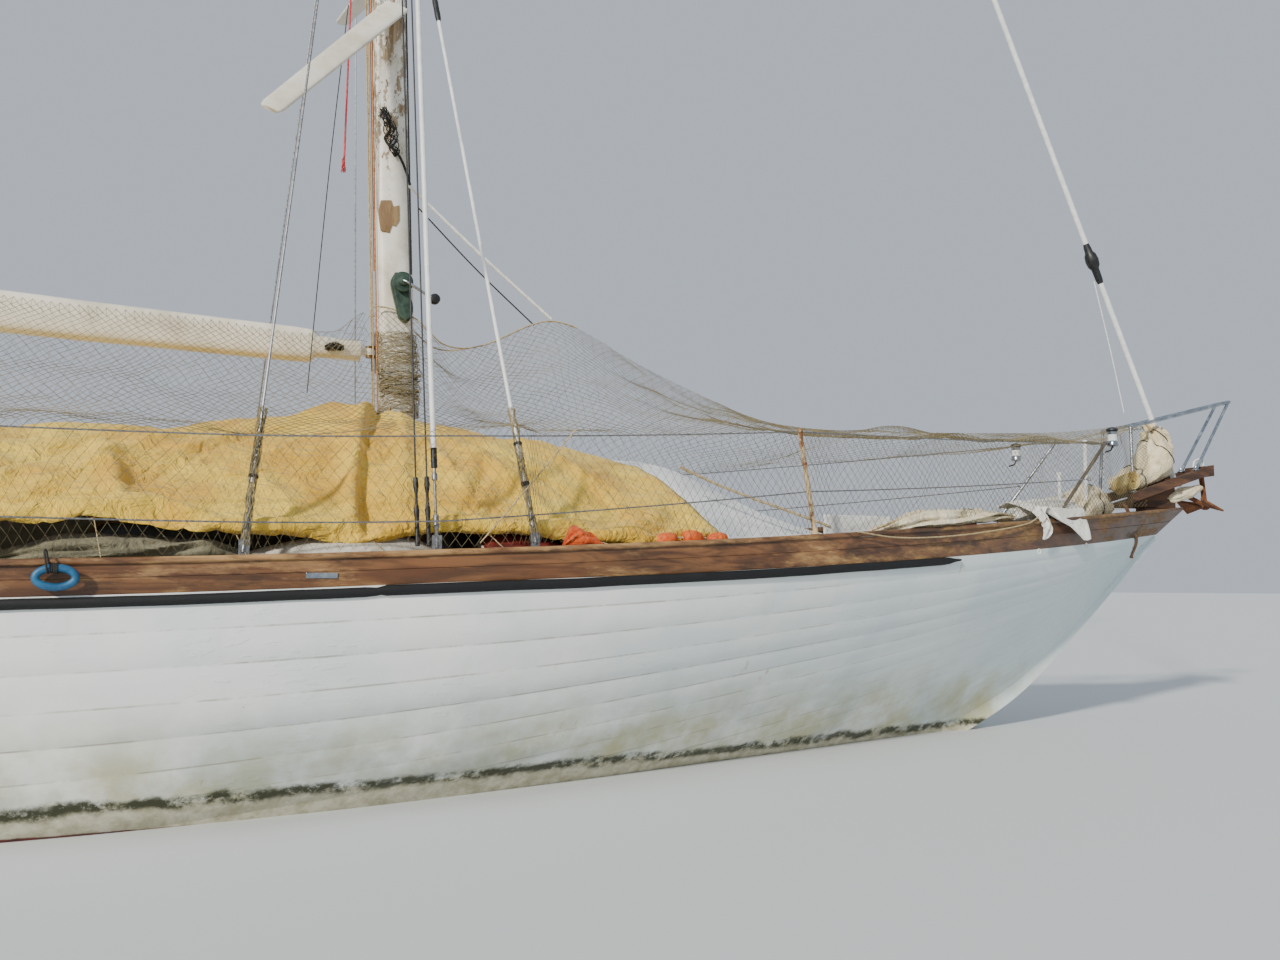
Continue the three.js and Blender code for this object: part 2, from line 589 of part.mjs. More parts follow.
// Each door covers half of the companionway from outside
const doorBody = box(doorAxisX, doorAxisX + DOOR.thick, 5, DOOR.axisOut - 15, DOOR.foot, DOOR.head);
const doorHinges = DOOR_KNUCKLES.flatMap((z) => [
  rod([doorAxisX, DOOR.axisOut, z], [doorAxisX, DOOR.axisOut, z + KNUCKLE_LENGTH],
    DOOR.knuckle, DOOR.knuckle, 16),
  box(doorAxisX, doorAxisX + 5, DOOR.axisOut - 60, DOOR.axisOut, z, z + KNUCKLE_LENGTH),
]);
pair('companionway_door', fuse(doorBody, ...doorHinges), 'varnish');

// Sliding hatch on two runners that a hood joins at the front
const roofCrown = TRUNK.roofSide + ROOF.camber + ROOF.thick;
const roofAt = (y, x) => TRUNK.roofSide + ROOF.thick
  + roofRise(y / (trunkHalf(x) + ROOF.overhang));
const runnerTop = roofCrown + 34;
const slideAft = TRUNK.aft - 30;
const slideFore = slideAft + SLIDE.length;
const underRoofTop = roofBlock(TRUNK.aft - 200, TRUNK.fore + 200, ROOF.overhang, -400,
  ROOF.thick + GAP);
const runner = (side) => box(TRUNK.aft - 10, slideFore + SLIDE.travel + 60,
  side * (SLIDE.half - 15) - 15, side * (SLIDE.half - 15) + 15, roofAt(SLIDE.half, 0) - 60, runnerTop);
const hood = box(slideFore + SLIDE.travel + 12, slideFore + SLIDE.travel + 60, -SLIDE.half,
  SLIDE.half, roofCrown - 60, runnerTop + SLIDE.thick + 8);
piece('hatch_runners', cut(fuse(runner(1), runner(-1), hood), underRoofTop), 'varnish');

const hatchPlate = box(slideAft, slideFore, -SLIDE.half, SLIDE.half, runnerTop + GAP,
  runnerTop + GAP + SLIDE.thick);
const hatchLip = box(slideAft, slideAft + 24, -COMPANION.half + 8, COMPANION.half - 8,
  runnerTop - 44, runnerTop + 2);
piece('companionway_hatch', fuse(hatchPlate, hatchLip), 'varnish');

piece('engine', box(CABIN.aft + 40, CABIN.aft + 40 + ENGINE.length, -ENGINE.width / 2,
  ENGINE.width / 2, CABIN.sole + GAP, CABIN.sole + GAP + ENGINE.height), 'engine');

// Cockpit coaming: two sides, and an after board lower than the tiller

const coamingSide = (side) => box(COAMING.aft, COAMING.fore - 4,
  side * COAMING.half - COAMING.thick / 2, side * COAMING.half + COAMING.thick / 2, 800,
  deckTop(-4000, COAMING.half) + COAMING.height);
const coamingAft = box(COAMING.aft, COAMING.aft + COAMING.thick, -COAMING.half, COAMING.half, 800,
  deckTop(-4000, COAMING.half) + COAMING.height);
piece('cockpit_coaming', onDeck(fuse(coamingSide(1), coamingSide(-1), coamingAft)), 'varnish');

// A winch: base, waisted drum and cap
function winch(radius, height) {
  const profile = [
    [0, 0], [radius * 1.2, 0], [radius * 1.2, height * 0.12], [radius, height * 0.16],
    [radius * 0.8, height * 0.45], [radius * 0.82, height * 0.75], [radius, height * 0.86],
    [radius, height * 0.95], [radius * 0.7, height], [0, height],
  ];
  return new THREE.LatheGeometry(profile.map(([r, h]) => new THREE.Vector2(r, h)), 14)
    .rotateX(Math.PI / 2);
}
const COCKPIT_WINCH = { x: -3900, y: 1150, radius: 62, height: 140 };
pair('cockpit_winch', onDeck(fuse(
  winch(COCKPIT_WINCH.radius, COCKPIT_WINCH.height).translate(COCKPIT_WINCH.x, COCKPIT_WINCH.y,
    deckTop(COCKPIT_WINCH.x, COCKPIT_WINCH.y) + 30),
  rod([COCKPIT_WINCH.x, COCKPIT_WINCH.y, deckTop(COCKPIT_WINCH.x, COCKPIT_WINCH.y) - 30],
    [COCKPIT_WINCH.x, COCKPIT_WINCH.y, deckTop(COCKPIT_WINCH.x, COCKPIT_WINCH.y) + 31],
    90, 80, 14))), 'bronze');

// Forehatch: coaming and a lid hinged at its fore edge

const hatchFoot = deckTop(FOREHATCH.fore, 0);
const hatchRim = hatchFoot + FOREHATCH.height;
const hatchCoaming = cut(
  box(FOREHATCH.aft - FOREHATCH.wall, FOREHATCH.fore + FOREHATCH.wall,
    -FOREHATCH.half - FOREHATCH.wall, FOREHATCH.half + FOREHATCH.wall, 1000, hatchRim),
  box(FOREHATCH.aft, FOREHATCH.fore, -FOREHATCH.half, FOREHATCH.half, 900, 2000));
const LID = { thick: 30, lip: 14, hingeZ: hatchRim + 5 };
const lidAxisX = FOREHATCH.fore + FOREHATCH.wall + 30;
const lidKnuckle = (y) => rod([lidAxisX, y - 25, LID.hingeZ], [lidAxisX, y + 25, LID.hingeZ], 9, 9, 16);
const lidLugs = [-170, 170].flatMap((y) => [y - 25 - GAP - 14, y + 25 + GAP].map((foot) => fuse(
  rod([lidAxisX, foot, LID.hingeZ], [lidAxisX, foot + 14, LID.hingeZ], 9, 9, 16),
  box(lidAxisX - 9, lidAxisX + 9, foot, foot + 14, LID.hingeZ - 30, LID.hingeZ),
  box(FOREHATCH.fore + FOREHATCH.wall - 1, lidAxisX, foot, foot + 14, LID.hingeZ - 40,
    LID.hingeZ - 12))));
piece('forehatch_coaming', onDeck(fuse(hatchCoaming, ...lidLugs)), 'varnish');
const lidBody = box(FOREHATCH.aft - FOREHATCH.wall - LID.lip, lidAxisX - 15,
  -FOREHATCH.half - FOREHATCH.wall - LID.lip, FOREHATCH.half + FOREHATCH.wall + LID.lip,
  hatchRim + GAP, hatchRim + GAP + LID.thick);
const lidStraps = [-170, 170].flatMap((y) => [lidKnuckle(y),
  box(lidAxisX - 40, lidAxisX, y - 25, y + 25, LID.hingeZ + 3, LID.hingeZ + 9)]);
piece('forehatch_lid', fuse(lidBody, ...lidStraps), 'varnish');

// Rudder on its raked stock, and the tiller

const rudder = new THREE.Group();
rudder.position.set(RUDDER.heelX, 0, RUDDER.heelZ);
rudder.rotation.y = -RUDDER.rake;
yawl.add(rudder);
const bladeOutline = [
  [26, 60], [26, 640], [-20, 700], [-20, 1330], [26, 1390], [26, 1780], [-260, 1790],
  [-560, 1560], [-720, 1200], [-760, 800], [-690, 420], [-480, 190], [-160, 80],
];
const bladePlate = slab(bladeOutline, RUDDER.blade);
const stock = rod([0, 0, RUDDER.foot], [0, 0, RUDDER.headLength], RUDDER.stock, RUDDER.stock, 20);
const headRod = (grow) => rod([0, 0, RUDDER.headLength - 1 - grow],
  [0, 0, RUDDER.headLength + 110 + grow], 52 + grow, 48 + grow, 20);
piece('rudder_blade', fuse(bladePlate, stock, headRod(0)), 'iron', rudder);
const tillerRoot = [38, 0, RUDDER.headLength + 60];
const tillerTip = [TILLER.length, 0, RUDDER.headLength + 60 + TILLER.length * TILLER.rise
  - TILLER.length * Math.tan(RUDDER.rake)];
piece('tiller', cut(rod(tillerRoot, tillerTip, TILLER.root, TILLER.tip, 12), headRod(GAP)),
  'varnish', rudder);

const heelShoe = slab([[-4010, SOLE_Z - GAP], [-3400, SOLE_Z - GAP], [-3400, SOLE_Z - 26],
  [-4010, SOLE_Z - 26]], 48);
piece('rudder_heel_shoe', heelShoe, 'bronze');

// Propeller: hub, three blades and the shaft that runs in the deadwood

const propeller = new THREE.Group();
propeller.position.set(PROPELLER.x, 0, PROPELLER.z);
yawl.add(propeller);
const blade = (turn) => new THREE.BoxGeometry(9, 120, PROPELLER.radius - 20)
  .rotateZ(0.5).translate(0, 0, (PROPELLER.radius - 20) / 2 + 20).rotateX(turn);
piece('propeller', fuse(
  rod([-90, 0, 0], [90, 0, 0], PROPELLER.hub * 0.6, PROPELLER.hub, 16),
  rod([80, 0, 0], [560, 0, 0], PROPELLER.shaft, PROPELLER.shaft, 24),
  ...[0, 1, 2].map((i) => blade((i * 2 * Math.PI) / 3))), 'bronze', propeller);

// Main mast, in its own leaning frame

const mastHeelZ = deckTop(MAST.x, 0);
const mast = new THREE.Group();
mast.position.set(MAST.x, 0, mastHeelZ);
mast.rotation.y = -MAST.rake;
yawl.add(mast);

const mastScale = (up) => along(MAST_TAPER, 'up', up, 'scale');
// Rounded section: fraction of the fore-and-aft and side half sizes
const SPAR_SECTION = [
  [1, 0.45], [0.86, 0.82], [0.45, 1], [-0.45, 1], [-0.86, 0.82], [-1, 0.45],
  [-1, -0.45], [-0.86, -0.82], [-0.45, -1], [0.45, -1], [0.86, -0.82], [1, -0.45],
];
const mastLoft = (from, to, grow) => loft([from, ...MAST_TAPER.map((row) => row.up)
  .filter((up) => up > from && up < to), to].map((up) => SPAR_SECTION.map(([f, s]) =>
  [f * (MAST.fore * mastScale(up) + grow), s * (MAST.side * mastScale(up) + grow), up])));
const mastPole = mastLoft(-60, MAST.length, 0);
const aroundMast = mastLoft(-300, MAST.length, GAP);
const offMast = (geometry) => cut(geometry, aroundMast);

// Turns points of the whole boat into the mast's frame
const intoMast = new THREE.Matrix4().makeRotationY(-MAST.rake).setPosition(MAST.x, 0, mastHeelZ)
  .invert();
const fromMast = intoMast.clone().invert();
piece('main_mast', cut(mastPole, underDeck.clone().applyMatrix4(intoMast)), 'spar', mast);
const mastPoint = (x, y, up) => new THREE.Vector3(x, y, up).applyMatrix4(fromMast).toArray();

// Spreaders: the port one stands out, the starboard one has dropped and hangs by its root
function spreader(root, tip, chord, tipChord, thick) {
  const a = new THREE.Vector3(...root);
  const b = new THREE.Vector3(...tip);
  const along1 = b.clone().sub(a).normalize();
  const fore = new THREE.Vector3(1, 0, 0).addScaledVector(along1, -along1.x).normalize();
  const up = new THREE.Vector3().crossVectors(fore, along1).normalize();
  const ring = (at, width) => [[-1, -1], [-1, 1], [1, 1], [1, -1]].map(([f, u]) =>
    at.clone().addScaledVector(fore, (f * width) / 2).addScaledVector(up, (u * thick) / 2).toArray());
  return loft([ring(a, chord), ring(b, tipChord)]);
}
piece('spreader_port', offMast(spreader([0, 60, 3660], [-150, 1220, 3900], 150, 90, 30)), 'spar',
  mast);
piece('spreader_starboard', offMast(spreader([60, -70, 3400], [-725, -840, 2310], 150, 120, 27)),
  'spar', mast);

const MAST_WINCH = { up: 1640, radius: 52, length: 120 };
piece('mast_winch', offMast(fuse(
  winch(MAST_WINCH.radius, MAST_WINCH.length).rotateX(Math.PI / 2)
    .translate(30, -MAST.side - 26, MAST_WINCH.up),
  rod([30, -MAST.side + 20, MAST_WINCH.up], [30, -MAST.side - 28, MAST_WINCH.up], 62, 58, 14))),
'winch', mast);

// Main boom on its gooseneck, in the mast's frame: the pin runs parallel to the mast

const pinX = -MAST.fore - BOOM.reach;
const TONGUE = { half: 20, radius: 22, lug: 24, lugThick: 14 };
const lug = (low) => fuse(
  rod([pinX, 0, BOOM.up + low], [pinX, 0, BOOM.up + low + TONGUE.lugThick], TONGUE.lug, TONGUE.lug, 20),
  box(pinX, -MAST.fore + 30, -20, 20, BOOM.up + low, BOOM.up + low + TONGUE.lugThick));
const gooseneckPlate = box(-MAST.fore - 12, -MAST.fore + 30, -40, 40, BOOM.up - 120, BOOM.up + 120);
piece('gooseneck', offMast(fuse(lug(TONGUE.half + GAP), lug(-TONGUE.half - GAP - TONGUE.lugThick),
  gooseneckPlate)), 'steel', mast);

// Boom sections: distance aft of the pin, half height, half width
const BOOM_SECTIONS = [
  { aft: 52, high: 58, wide: 58 }, { aft: 300, high: 60, wide: 60 },
  { aft: 330, high: 92, wide: 70 }, { aft: 420, high: 97, wide: 74 },
  { aft: 2000, high: 110, wide: 78 }, { aft: 3600, high: 106, wide: 76 },
  { aft: BOOM.length, high: 80, wide: 60 },
];
const boomPole = loft(BOOM_SECTIONS.map((row) => SPAR_SECTION.map(([f, s]) =>
  [-row.aft, s * row.wide, f * row.high])));
const boomNeck = box(-80, -10, -18, 18, -TONGUE.half, TONGUE.half);
boomPole.rotateY(BOOM.tilt);
const boom = new THREE.Group();
boom.position.set(pinX, 0, BOOM.up);
mast.add(boom);
piece('main_boom', fuse(boomPole, boomNeck,
  rod([0, 0, -TONGUE.half], [0, 0, TONGUE.half], TONGUE.radius, TONGUE.radius, 20)), 'spar', boom);

// Wires of the main mast

const WIRE = 5.5;
const TURNBUCKLE = { radius: 13, foot: 60, length: 260 };

// A wire with its turnbuckle: distance from the foot and radius of each step
function stay(foot, head, radius = WIRE) {
  const a = new THREE.Vector3(...foot);
  const b = new THREE.Vector3(...head);
  const way = b.clone().sub(a);
  const steps = [
    [-30, 9], [TURNBUCKLE.foot, 9], [TURNBUCKLE.foot + 6, TURNBUCKLE.radius],
    [TURNBUCKLE.foot + TURNBUCKLE.length, TURNBUCKLE.radius],
    [TURNBUCKLE.foot + TURNBUCKLE.length + 8, radius], [way.length(), radius],
  ];
  way.normalize();
  const across = new THREE.Vector3(0, 1, 0).cross(way).normalize();
  const other = way.clone().cross(across);
  return loft(steps.map(([distance, size]) => {
    const middle = a.clone().addScaledVector(way, distance);
    return [0, 1, 2, 3, 4, 5].map((i) => middle.clone()
      .addScaledVector(across, size * Math.cos((i * Math.PI) / 3 + 0.2))
      .addScaledVector(other, size * Math.sin((i * Math.PI) / 3 + 0.2)).toArray());
  }));
}
const overCap = capRail(GAP);
const railY = (x) => beam(x) + lean(x) - BULWARK_THICK / 2;
const railPoint = (x, rise = 40) => [x, railY(x) - OUTBOARD, railTop(x) + rise];
const chainplate = (x) => box(x - 24, x + 24, railY(x) - OUTBOARD - 5, railY(x) - OUTBOARD + 5,
  railTop(x) - 18, railTop(x) + 65);
const tangBlock = (up, side, wide) => box(-40, 40, side - wide, side, up - 60, up + 60)
  .applyMatrix4(fromMast);
const mastInBoat = aroundMast.clone().applyMatrix4(fromMast);
const sparFace = (up) => MAST.side * mastScale(up) + 14;

for (const { name, x, up } of SHROUDS) {
  const head = mastPoint(0, sparFace(up), up);
  const shroud = fuse(stay(railPoint(x), head), tangBlock(up, sparFace(up) + 8, 45), chainplate(x));
  pair(name, cut(shroud, overCap, mastInBoat), 'wire');
}

const stayHead = mastPoint(MAST.fore * 0.62 + 10, 0, FORESTAY.up);
piece('forestay', cut(fuse(
  rod([FORESTAY.footX, 0, FORESTAY.footZ], stayHead, FORESTAY.radius, FORESTAY.radius, 10),
  box(10, MAST.fore * 0.62 + 24, -16, 16, FORESTAY.up - 40, FORESTAY.up + 60).applyMatrix4(fromMast)),
mastInBoat), 'spar');

const mastAft = -MAST.fore * mastScale(BACKSTAY.up - 30) - GAP;
const backstayTang = box(mastAft - 20, mastAft, 10, 40, BACKSTAY.up - 30, BACKSTAY.up + 30);
const backstay = cut(fuse(stay(railPoint(BACKSTAY.x), mastPoint(mastAft - 10, 25, BACKSTAY.up)),
  backstayTang.applyMatrix4(fromMast), chainplate(BACKSTAY.x)), overCap);
pair('backstay', backstay, 'wire');

// Mizzen mast, boom and shrouds

const mizzenHeelZ = deckTop(MIZZEN.x, 0);
const mizzen = new THREE.Group();
mizzen.position.set(MIZZEN.x, 0, mizzenHeelZ);
yawl.add(mizzen);
piece('mizzen_mast', cut(rod([0, 0, -40], [0, 0, MIZZEN.length], MIZZEN.radius, MIZZEN.tip, 16),
  underDeck.clone().translate(-MIZZEN.x, 0, -mizzenHeelZ)), 'spar', mizzen);
const mizzenPole = rod([MIZZEN.x, 0, mizzenHeelZ - 200], [MIZZEN.x, 0, mizzenHeelZ + MIZZEN.length],
  MIZZEN.radius + GAP + 0.6, MIZZEN.tip + GAP + 0.6, 16);

const mizzenPinX = MIZZEN.x - MIZZEN.radius - MIZZEN_BOOM.reach;
const mizzenLug = (low) => fuse(
  rod([mizzenPinX, 0, MIZZEN_BOOM.z + low], [mizzenPinX, 0, MIZZEN_BOOM.z + low + 12], 18, 18, 16),
  box(mizzenPinX, MIZZEN.x - 20, -14, 14, MIZZEN_BOOM.z + low, MIZZEN_BOOM.z + low + 12));
piece('mizzen_gooseneck', cut(fuse(mizzenLug(15 + GAP), mizzenLug(-15 - GAP - 12),
  rod([MIZZEN.x, 0, MIZZEN_BOOM.z - 60], [MIZZEN.x, 0, MIZZEN_BOOM.z + 60], 72, 72, 20)), mizzenPole),
'steel');
const mizzenBoom = new THREE.Group();
mizzenBoom.position.set(mizzenPinX, 0, MIZZEN_BOOM.z);
yawl.add(mizzenBoom);
piece('mizzen_boom', fuse(
  rod([0, 0, -15], [0, 0, 15], 16, 16, 16), box(-60, 0, -12, 12, -15, 15),
  rod([-44, 0, 0], [-MIZZEN_BOOM.length, 0, 60], MIZZEN_BOOM.radius, 32, 12)), 'spar', mizzenBoom);

const mizzenHead = [MIZZEN.x, MIZZEN.radius + 2, mizzenHeelZ + MIZZEN_SHROUDS.up];
const mizzenShrouds = cut(fuse(
  stay(railPoint(MIZZEN_SHROUDS.foreX), mizzenHead, 4.5),
  stay(railPoint(MIZZEN_SHROUDS.aftX), mizzenHead, 4.5),
  box(MIZZEN.x - 25, MIZZEN.x + 25, 30, MIZZEN.radius + 8, mizzenHead[2] - 40, mizzenHead[2] + 40),
  chainplate(MIZZEN_SHROUDS.foreX),
  chainplate(MIZZEN_SHROUDS.aftX)),
overCap, mizzenPole);
pair('mizzen_shrouds', mizzenShrouds, 'wire');

// Lifelines: posts on the cap rail joined by two wires

function lifelineSide(bowStrut) {
  const bits = [];
  const rows = [...LIFELINES, bowStrut];
  const lineY = (x) => railY(x) + OUTBOARD;
  // A leaning post's head lies over the rail line at its own x
  const wireAt = (row, level) => {
    const share = (row[level] - railTop(row.x)) / (row.upper - railTop(row.x));
    const x = row.x + (row.lean ?? 0) * share;
    return [x, lineY(row.x) * (1 - share) + lineY(x) * share, row[level]];
  };
  rows.forEach((row, i) => {
    if (row.post) {
      const foot = [row.x, lineY(row.x), railTop(row.x) - 10];
      bits.push(rod(foot, wireAt(row, 'upper'), POST_RADIUS, POST_RADIUS, 6));
      bits.push(knob(wireAt(row, 'upper'), POST_RADIUS * 1.3));
      bits.push(rod(foot, [row.x, lineY(row.x), railTop(row.x) + 12], POST_BASE, POST_BASE, 8));
    }
    if (i > 0) {
      for (const level of ['upper', 'lower']) {
        bits.push(rod(wireAt(rows[i - 1], level), wireAt(row, level), LIFELINE_RADIUS,
          LIFELINE_RADIUS, 4));
      }
      if (!row.post) bits.push(...['upper', 'lower'].map((level) => knob(wireAt(row, level), 7)));
    }
  });
  return cut(fuse(...bits), overCap);
}
piece('lifelines_port', lifelineSide(BOW_STRUT.port), 'wire');
piece('lifelines_starboard', mirrored(lifelineSide(BOW_STRUT.starboard)), 'wire');

// Bow: platform timbers, pulpit, anchor, bitts

const PLATFORM = { aftX: 6430, foreX: 7400, aftZ: 1668, foreZ: 1935, aftY: 175, foreY: 62 };
const platformBeam = (side) => {
  const ring = (x, y, z) => [[-28, -34], [28, -34], [28, 34], [-28, 34]]
    .map(([dy, dz]) => [x, side * (y + dy), z + dz]);
  return loft([ring(PLATFORM.aftX, PLATFORM.aftY, PLATFORM.aftZ),
    ring(PLATFORM.foreX, PLATFORM.foreY, PLATFORM.foreZ)]);
};
const platformZ = (x) => THREE.MathUtils.mapLinear(x, PLATFORM.aftX, PLATFORM.foreX, PLATFORM.aftZ,
  PLATFORM.foreZ);
const platformTip = (grow) => box(7290 - grow, 7400 + grow, -90 - grow, 90 + grow,
  platformZ(7345) - 40 - grow, platformZ(7345) + 36 + grow);
const bowPlatform = cut(fuse(platformBeam(1), platformBeam(-1),
  platformTip(0),
  box(6900, 6980, -150, 150, platformZ(6940) - 30, platformZ(6940) + 30)),
overCap, mirrored(overCap),
box(6600, STEM_HEAD_X, -STEM_HALF, STEM_HALF, 1300, railTop(BOW_X) + 2 * GAP));
piece('bow_platform', bowPlatform, 'timber');

const PULPIT = { tip: [7690, 0, 2508], bend: [7630, 60, 2494], aft: [6500, 140, 2222] };
const pulpitSide = (side) => {
  const flip = ([x, y, z]) => [x, side * y, z];
  return [
    tube([PULPIT.tip, PULPIT.bend, PULPIT.aft].map(flip), 14),
    knob(flip(PULPIT.aft), 15),
    rod(flip(PULPIT.aft), flip([6470, 168, platformZ(6470) + 10]), 12.5, 12.5, 6),
    rod(flip(PULPIT.bend), flip([7225, 72, platformZ(7225) + 10]), 12.5, 12.5, 6),
  ];
};
piece('pulpit', cut(fuse(...pulpitSide(1), ...pulpitSide(-1), knob(PULPIT.tip, 15)),
  platformBeam(1).translate(0, 0, GAP), platformBeam(-1).translate(0, 0, GAP), platformTip(GAP)),
'steel');

const BITTS = { x: 5050, half: 55, height: 240 };
piece('samson_post', onDeck(fuse(
  box(BITTS.x - BITTS.half, BITTS.x + BITTS.half, -BITTS.half, BITTS.half, 1200,
    deckTop(BITTS.x, 0) + BITTS.height),
  rod([BITTS.x, -140, deckTop(BITTS.x, 0) + 160], [BITTS.x, 140, deckTop(BITTS.x, 0) + 160], 14, 14, 12))),
'timber');

const ANCHOR = { crown: [7385, 0, 1650] };
const anchorFluke = (side) => loft([
  [[7360, 10, 1640], [7410, 10, 1640], [7410, 40, 1670], [7360, 40, 1670]],
  [[7200, 120, 1690], [7380, 170, 1590], [7385, 175, 1602], [7205, 125, 1702]],
].map((ring) => ring.map(([x, y, z]) => [x, side * y, z])));
piece('anchor', cut(fuse(
  rod(ANCHOR.crown, [7130, 0, 1745], 20, 17, 8), knob(ANCHOR.crown, 42),
  rod(ANCHOR.crown, [7360, 0, platformZ(7345) - 30], 20, 20, 8),
  anchorFluke(1), anchorFluke(-1)),
platformTip(GAP)), 'rust');

// Soft covers

// A sheet as a thin shell: stations in x, its width, and its height over the deck plan
function cover(stops, reach, height, thick) {
  const fractions = Array.from({ length: 15 }, (_, i) => i / 14);
  return loft(stops.map((x) => {
    const [from, to] = reach(x);
    const rows = fractions.map((f) => {
      const y = from + (to - from) * f;
      return [x, y, height(x, y)];
    });
    return [...rows, ...rows.map(([px, py, pz]) => [px, py, pz - thick]).reverse()];
  }));
}

// Tarpaulin: ridge height and edge height at each x
const TARP = [
  { x: -1500, ridge: roofCrown + 14 + GAP, edge: 1300 },
  { x: -1060, ridge: 1820, edge: 1290 },
  { x: -300, ridge: 1880, edge: 1280 },
  { x: 300, ridge: 1960, edge: 1270 },
  { x: 760, ridge: 2035, edge: 1270 },
  { x: 1100, ridge: 1985, edge: 1255 },
  { x: 1700, ridge: 1900, edge: 1245 },
  { x: 2300, ridge: 1800, edge: 1250 },
];
const TARP_THICK = 14;
const ROOF_CLEAR = 2;
const ROOF_MARGIN = 120; // the cloth stays at the roof's height this far past its edge
const tarpEdge = (x) => deckEdge(x) - 90;
const tarpHeight = (x, y) => {
  const share = Math.abs(y) / tarpEdge(x);
  const edge = curve(TARP, x, 'edge');
  const tent = edge + (curve(TARP, x, 'ridge') - edge) * (1 - share ** 1.65);
  const roofHalf = trunkHalf(x) + ROOF.overhang;
  const onRoof = x < TRUNK.fore + 150 && Math.abs(y) < roofHalf + ROOF_MARGIN;
  const roof = TRUNK.roofSide + ROOF.thick + roofRise(Math.min(1, Math.abs(y) / roofHalf));
  return onRoof ? Math.max(tent, roof + TARP_THICK + ROOF_CLEAR) : tent;
};
const tarpStops = [-1500, -1300, -1060, -700, -300, 0, 300, 550, 760, 950, 1100, 1400, 1700, 2000, 2300];
piece('tarpaulin', cut(cover(tarpStops, (x) => [-tarpEdge(x), tarpEdge(x)], tarpHeight, TARP_THICK),
  mastInBoat, mastInBoat.clone().translate(-8, 0, 0)), 'tarp');

// White sheet over the fore end
const SHEET = [
  { x: 2320, ridge: 1780 }, { x: 2530, ridge: 1790 }, { x: 3000, ridge: 1600 },
  { x: 3400, ridge: 1440 }, { x: 3720, ridge: 1350 },
];
const sheetReach = (x) => deckEdge(x) - 150;
const sheetHeight = (x, y) => {
  const share = Math.abs(y) / sheetReach(x);
  const edge = deckTop(x, sheetReach(x)) + TARP_THICK - 4;
  return edge + (curve(SHEET, x, 'ridge') - edge) * (1 - share ** 1.7);
};
piece('foredeck_sheet', onDeck(cover([2320, 2530, 2760, 3000, 3200, 3400, 3560, 3720],
  (x) => [-sheetReach(x), sheetReach(x)], sheetHeight, TARP_THICK)), 'sheet');

// Dinghy stowed upside down on the foredeck
const DINGHY = [
  { x: 1260, half: 640, keel: 1570 }, { x: 1700, half: 720, keel: 1620 },
  { x: 2300, half: 700, keel: 1600 }, { x: 2900, half: 520, keel: 1490 },
  { x: 3250, half: 280, keel: 1400 }, { x: 3400, half: 60, keel: 1330 },
];
const dinghyRing = ({ x, half, keel }) => {
  const foot = deckTop(x, half) - 60;
  return [
    [x, -half, foot], [x, -half * 0.96, foot + (keel - foot) * 0.35],
    [x, -half * 0.72, foot + (keel - foot) * 0.75], [x, 0, keel],
    [x, half * 0.72, foot + (keel - foot) * 0.75], [x, half * 0.96, foot + (keel - foot) * 0.35],
    [x, half, foot],
  ];
};
piece('stowed_dinghy', onDeck(loft(DINGHY.map(dinghyRing))), 'red');

// A sausage of cloth through a list of points, each with its half width and half height
function bundle(rows) {
  const turns = Array.from({ length: 12 }, (_, i) => (i * Math.PI) / 6);
  return loft(rows.map(({ x, y, z, wide, high, lean: tip }) => turns.map((a) =>
    [x + Math.sin(a) * high * tip, y + Math.cos(a) * wide, z + Math.sin(a) * high])));
}
const HEADSAIL = [
  { x: 6420, y: 0, z: 1770, wide: 60, high: 45, lean: -0.4 },
  { x: 6520, y: 0, z: 1800, wide: 120, high: 85, lean: -0.4 },
  { x: 6720, y: 0, z: 1880, wide: 150, high: 100, lean: -0.5 },
  { x: 6880, y: 0, z: 2020, wide: 165, high: 150, lean: -0.9 },
  { x: 6950, y: 0, z: 2170, wide: 140, high: 110, lean: -1.6 },
  { x: 6955, y: 0, z: 2260, wide: 70, high: 50, lean: -2.2 },
];
const forestayRoom = rod([FORESTAY.footX, 0, FORESTAY.footZ], stayHead, FORESTAY.radius + GAP,
  FORESTAY.radius + GAP, 10);
const platformRoom = fuse(platformBeam(1), platformBeam(-1),
  box(6900, 6980, -150, 150, platformZ(6940) - 30, platformZ(6940) + 30)).translate(0, 0, GAP);
piece('headsail_bundle', cut(bundle(HEADSAIL), forestayRoom, platformRoom), 'canvas');

const FOREDECK_ROLL = [
  { x: 5250, y: -60, z: 1395, wide: 120, high: 75, lean: 0 },
  { x: 5450, y: -80, z: 1465, wide: 260, high: 130, lean: 0 },
  { x: 5800, y: -40, z: 1530, wide: 230, high: 165, lean: 0 },
  { x: 6100, y: 0, z: 1560, wide: 180, high: 160, lean: 0 },
  { x: 6330, y: 0, z: 1560, wide: 90, high: 110, lean: 0 },
];
piece('foredeck_bundle', onDeck(cut(bundle(FOREDECK_ROLL), platformRoom)), 'canvas');

export default yawl;
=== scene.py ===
import math

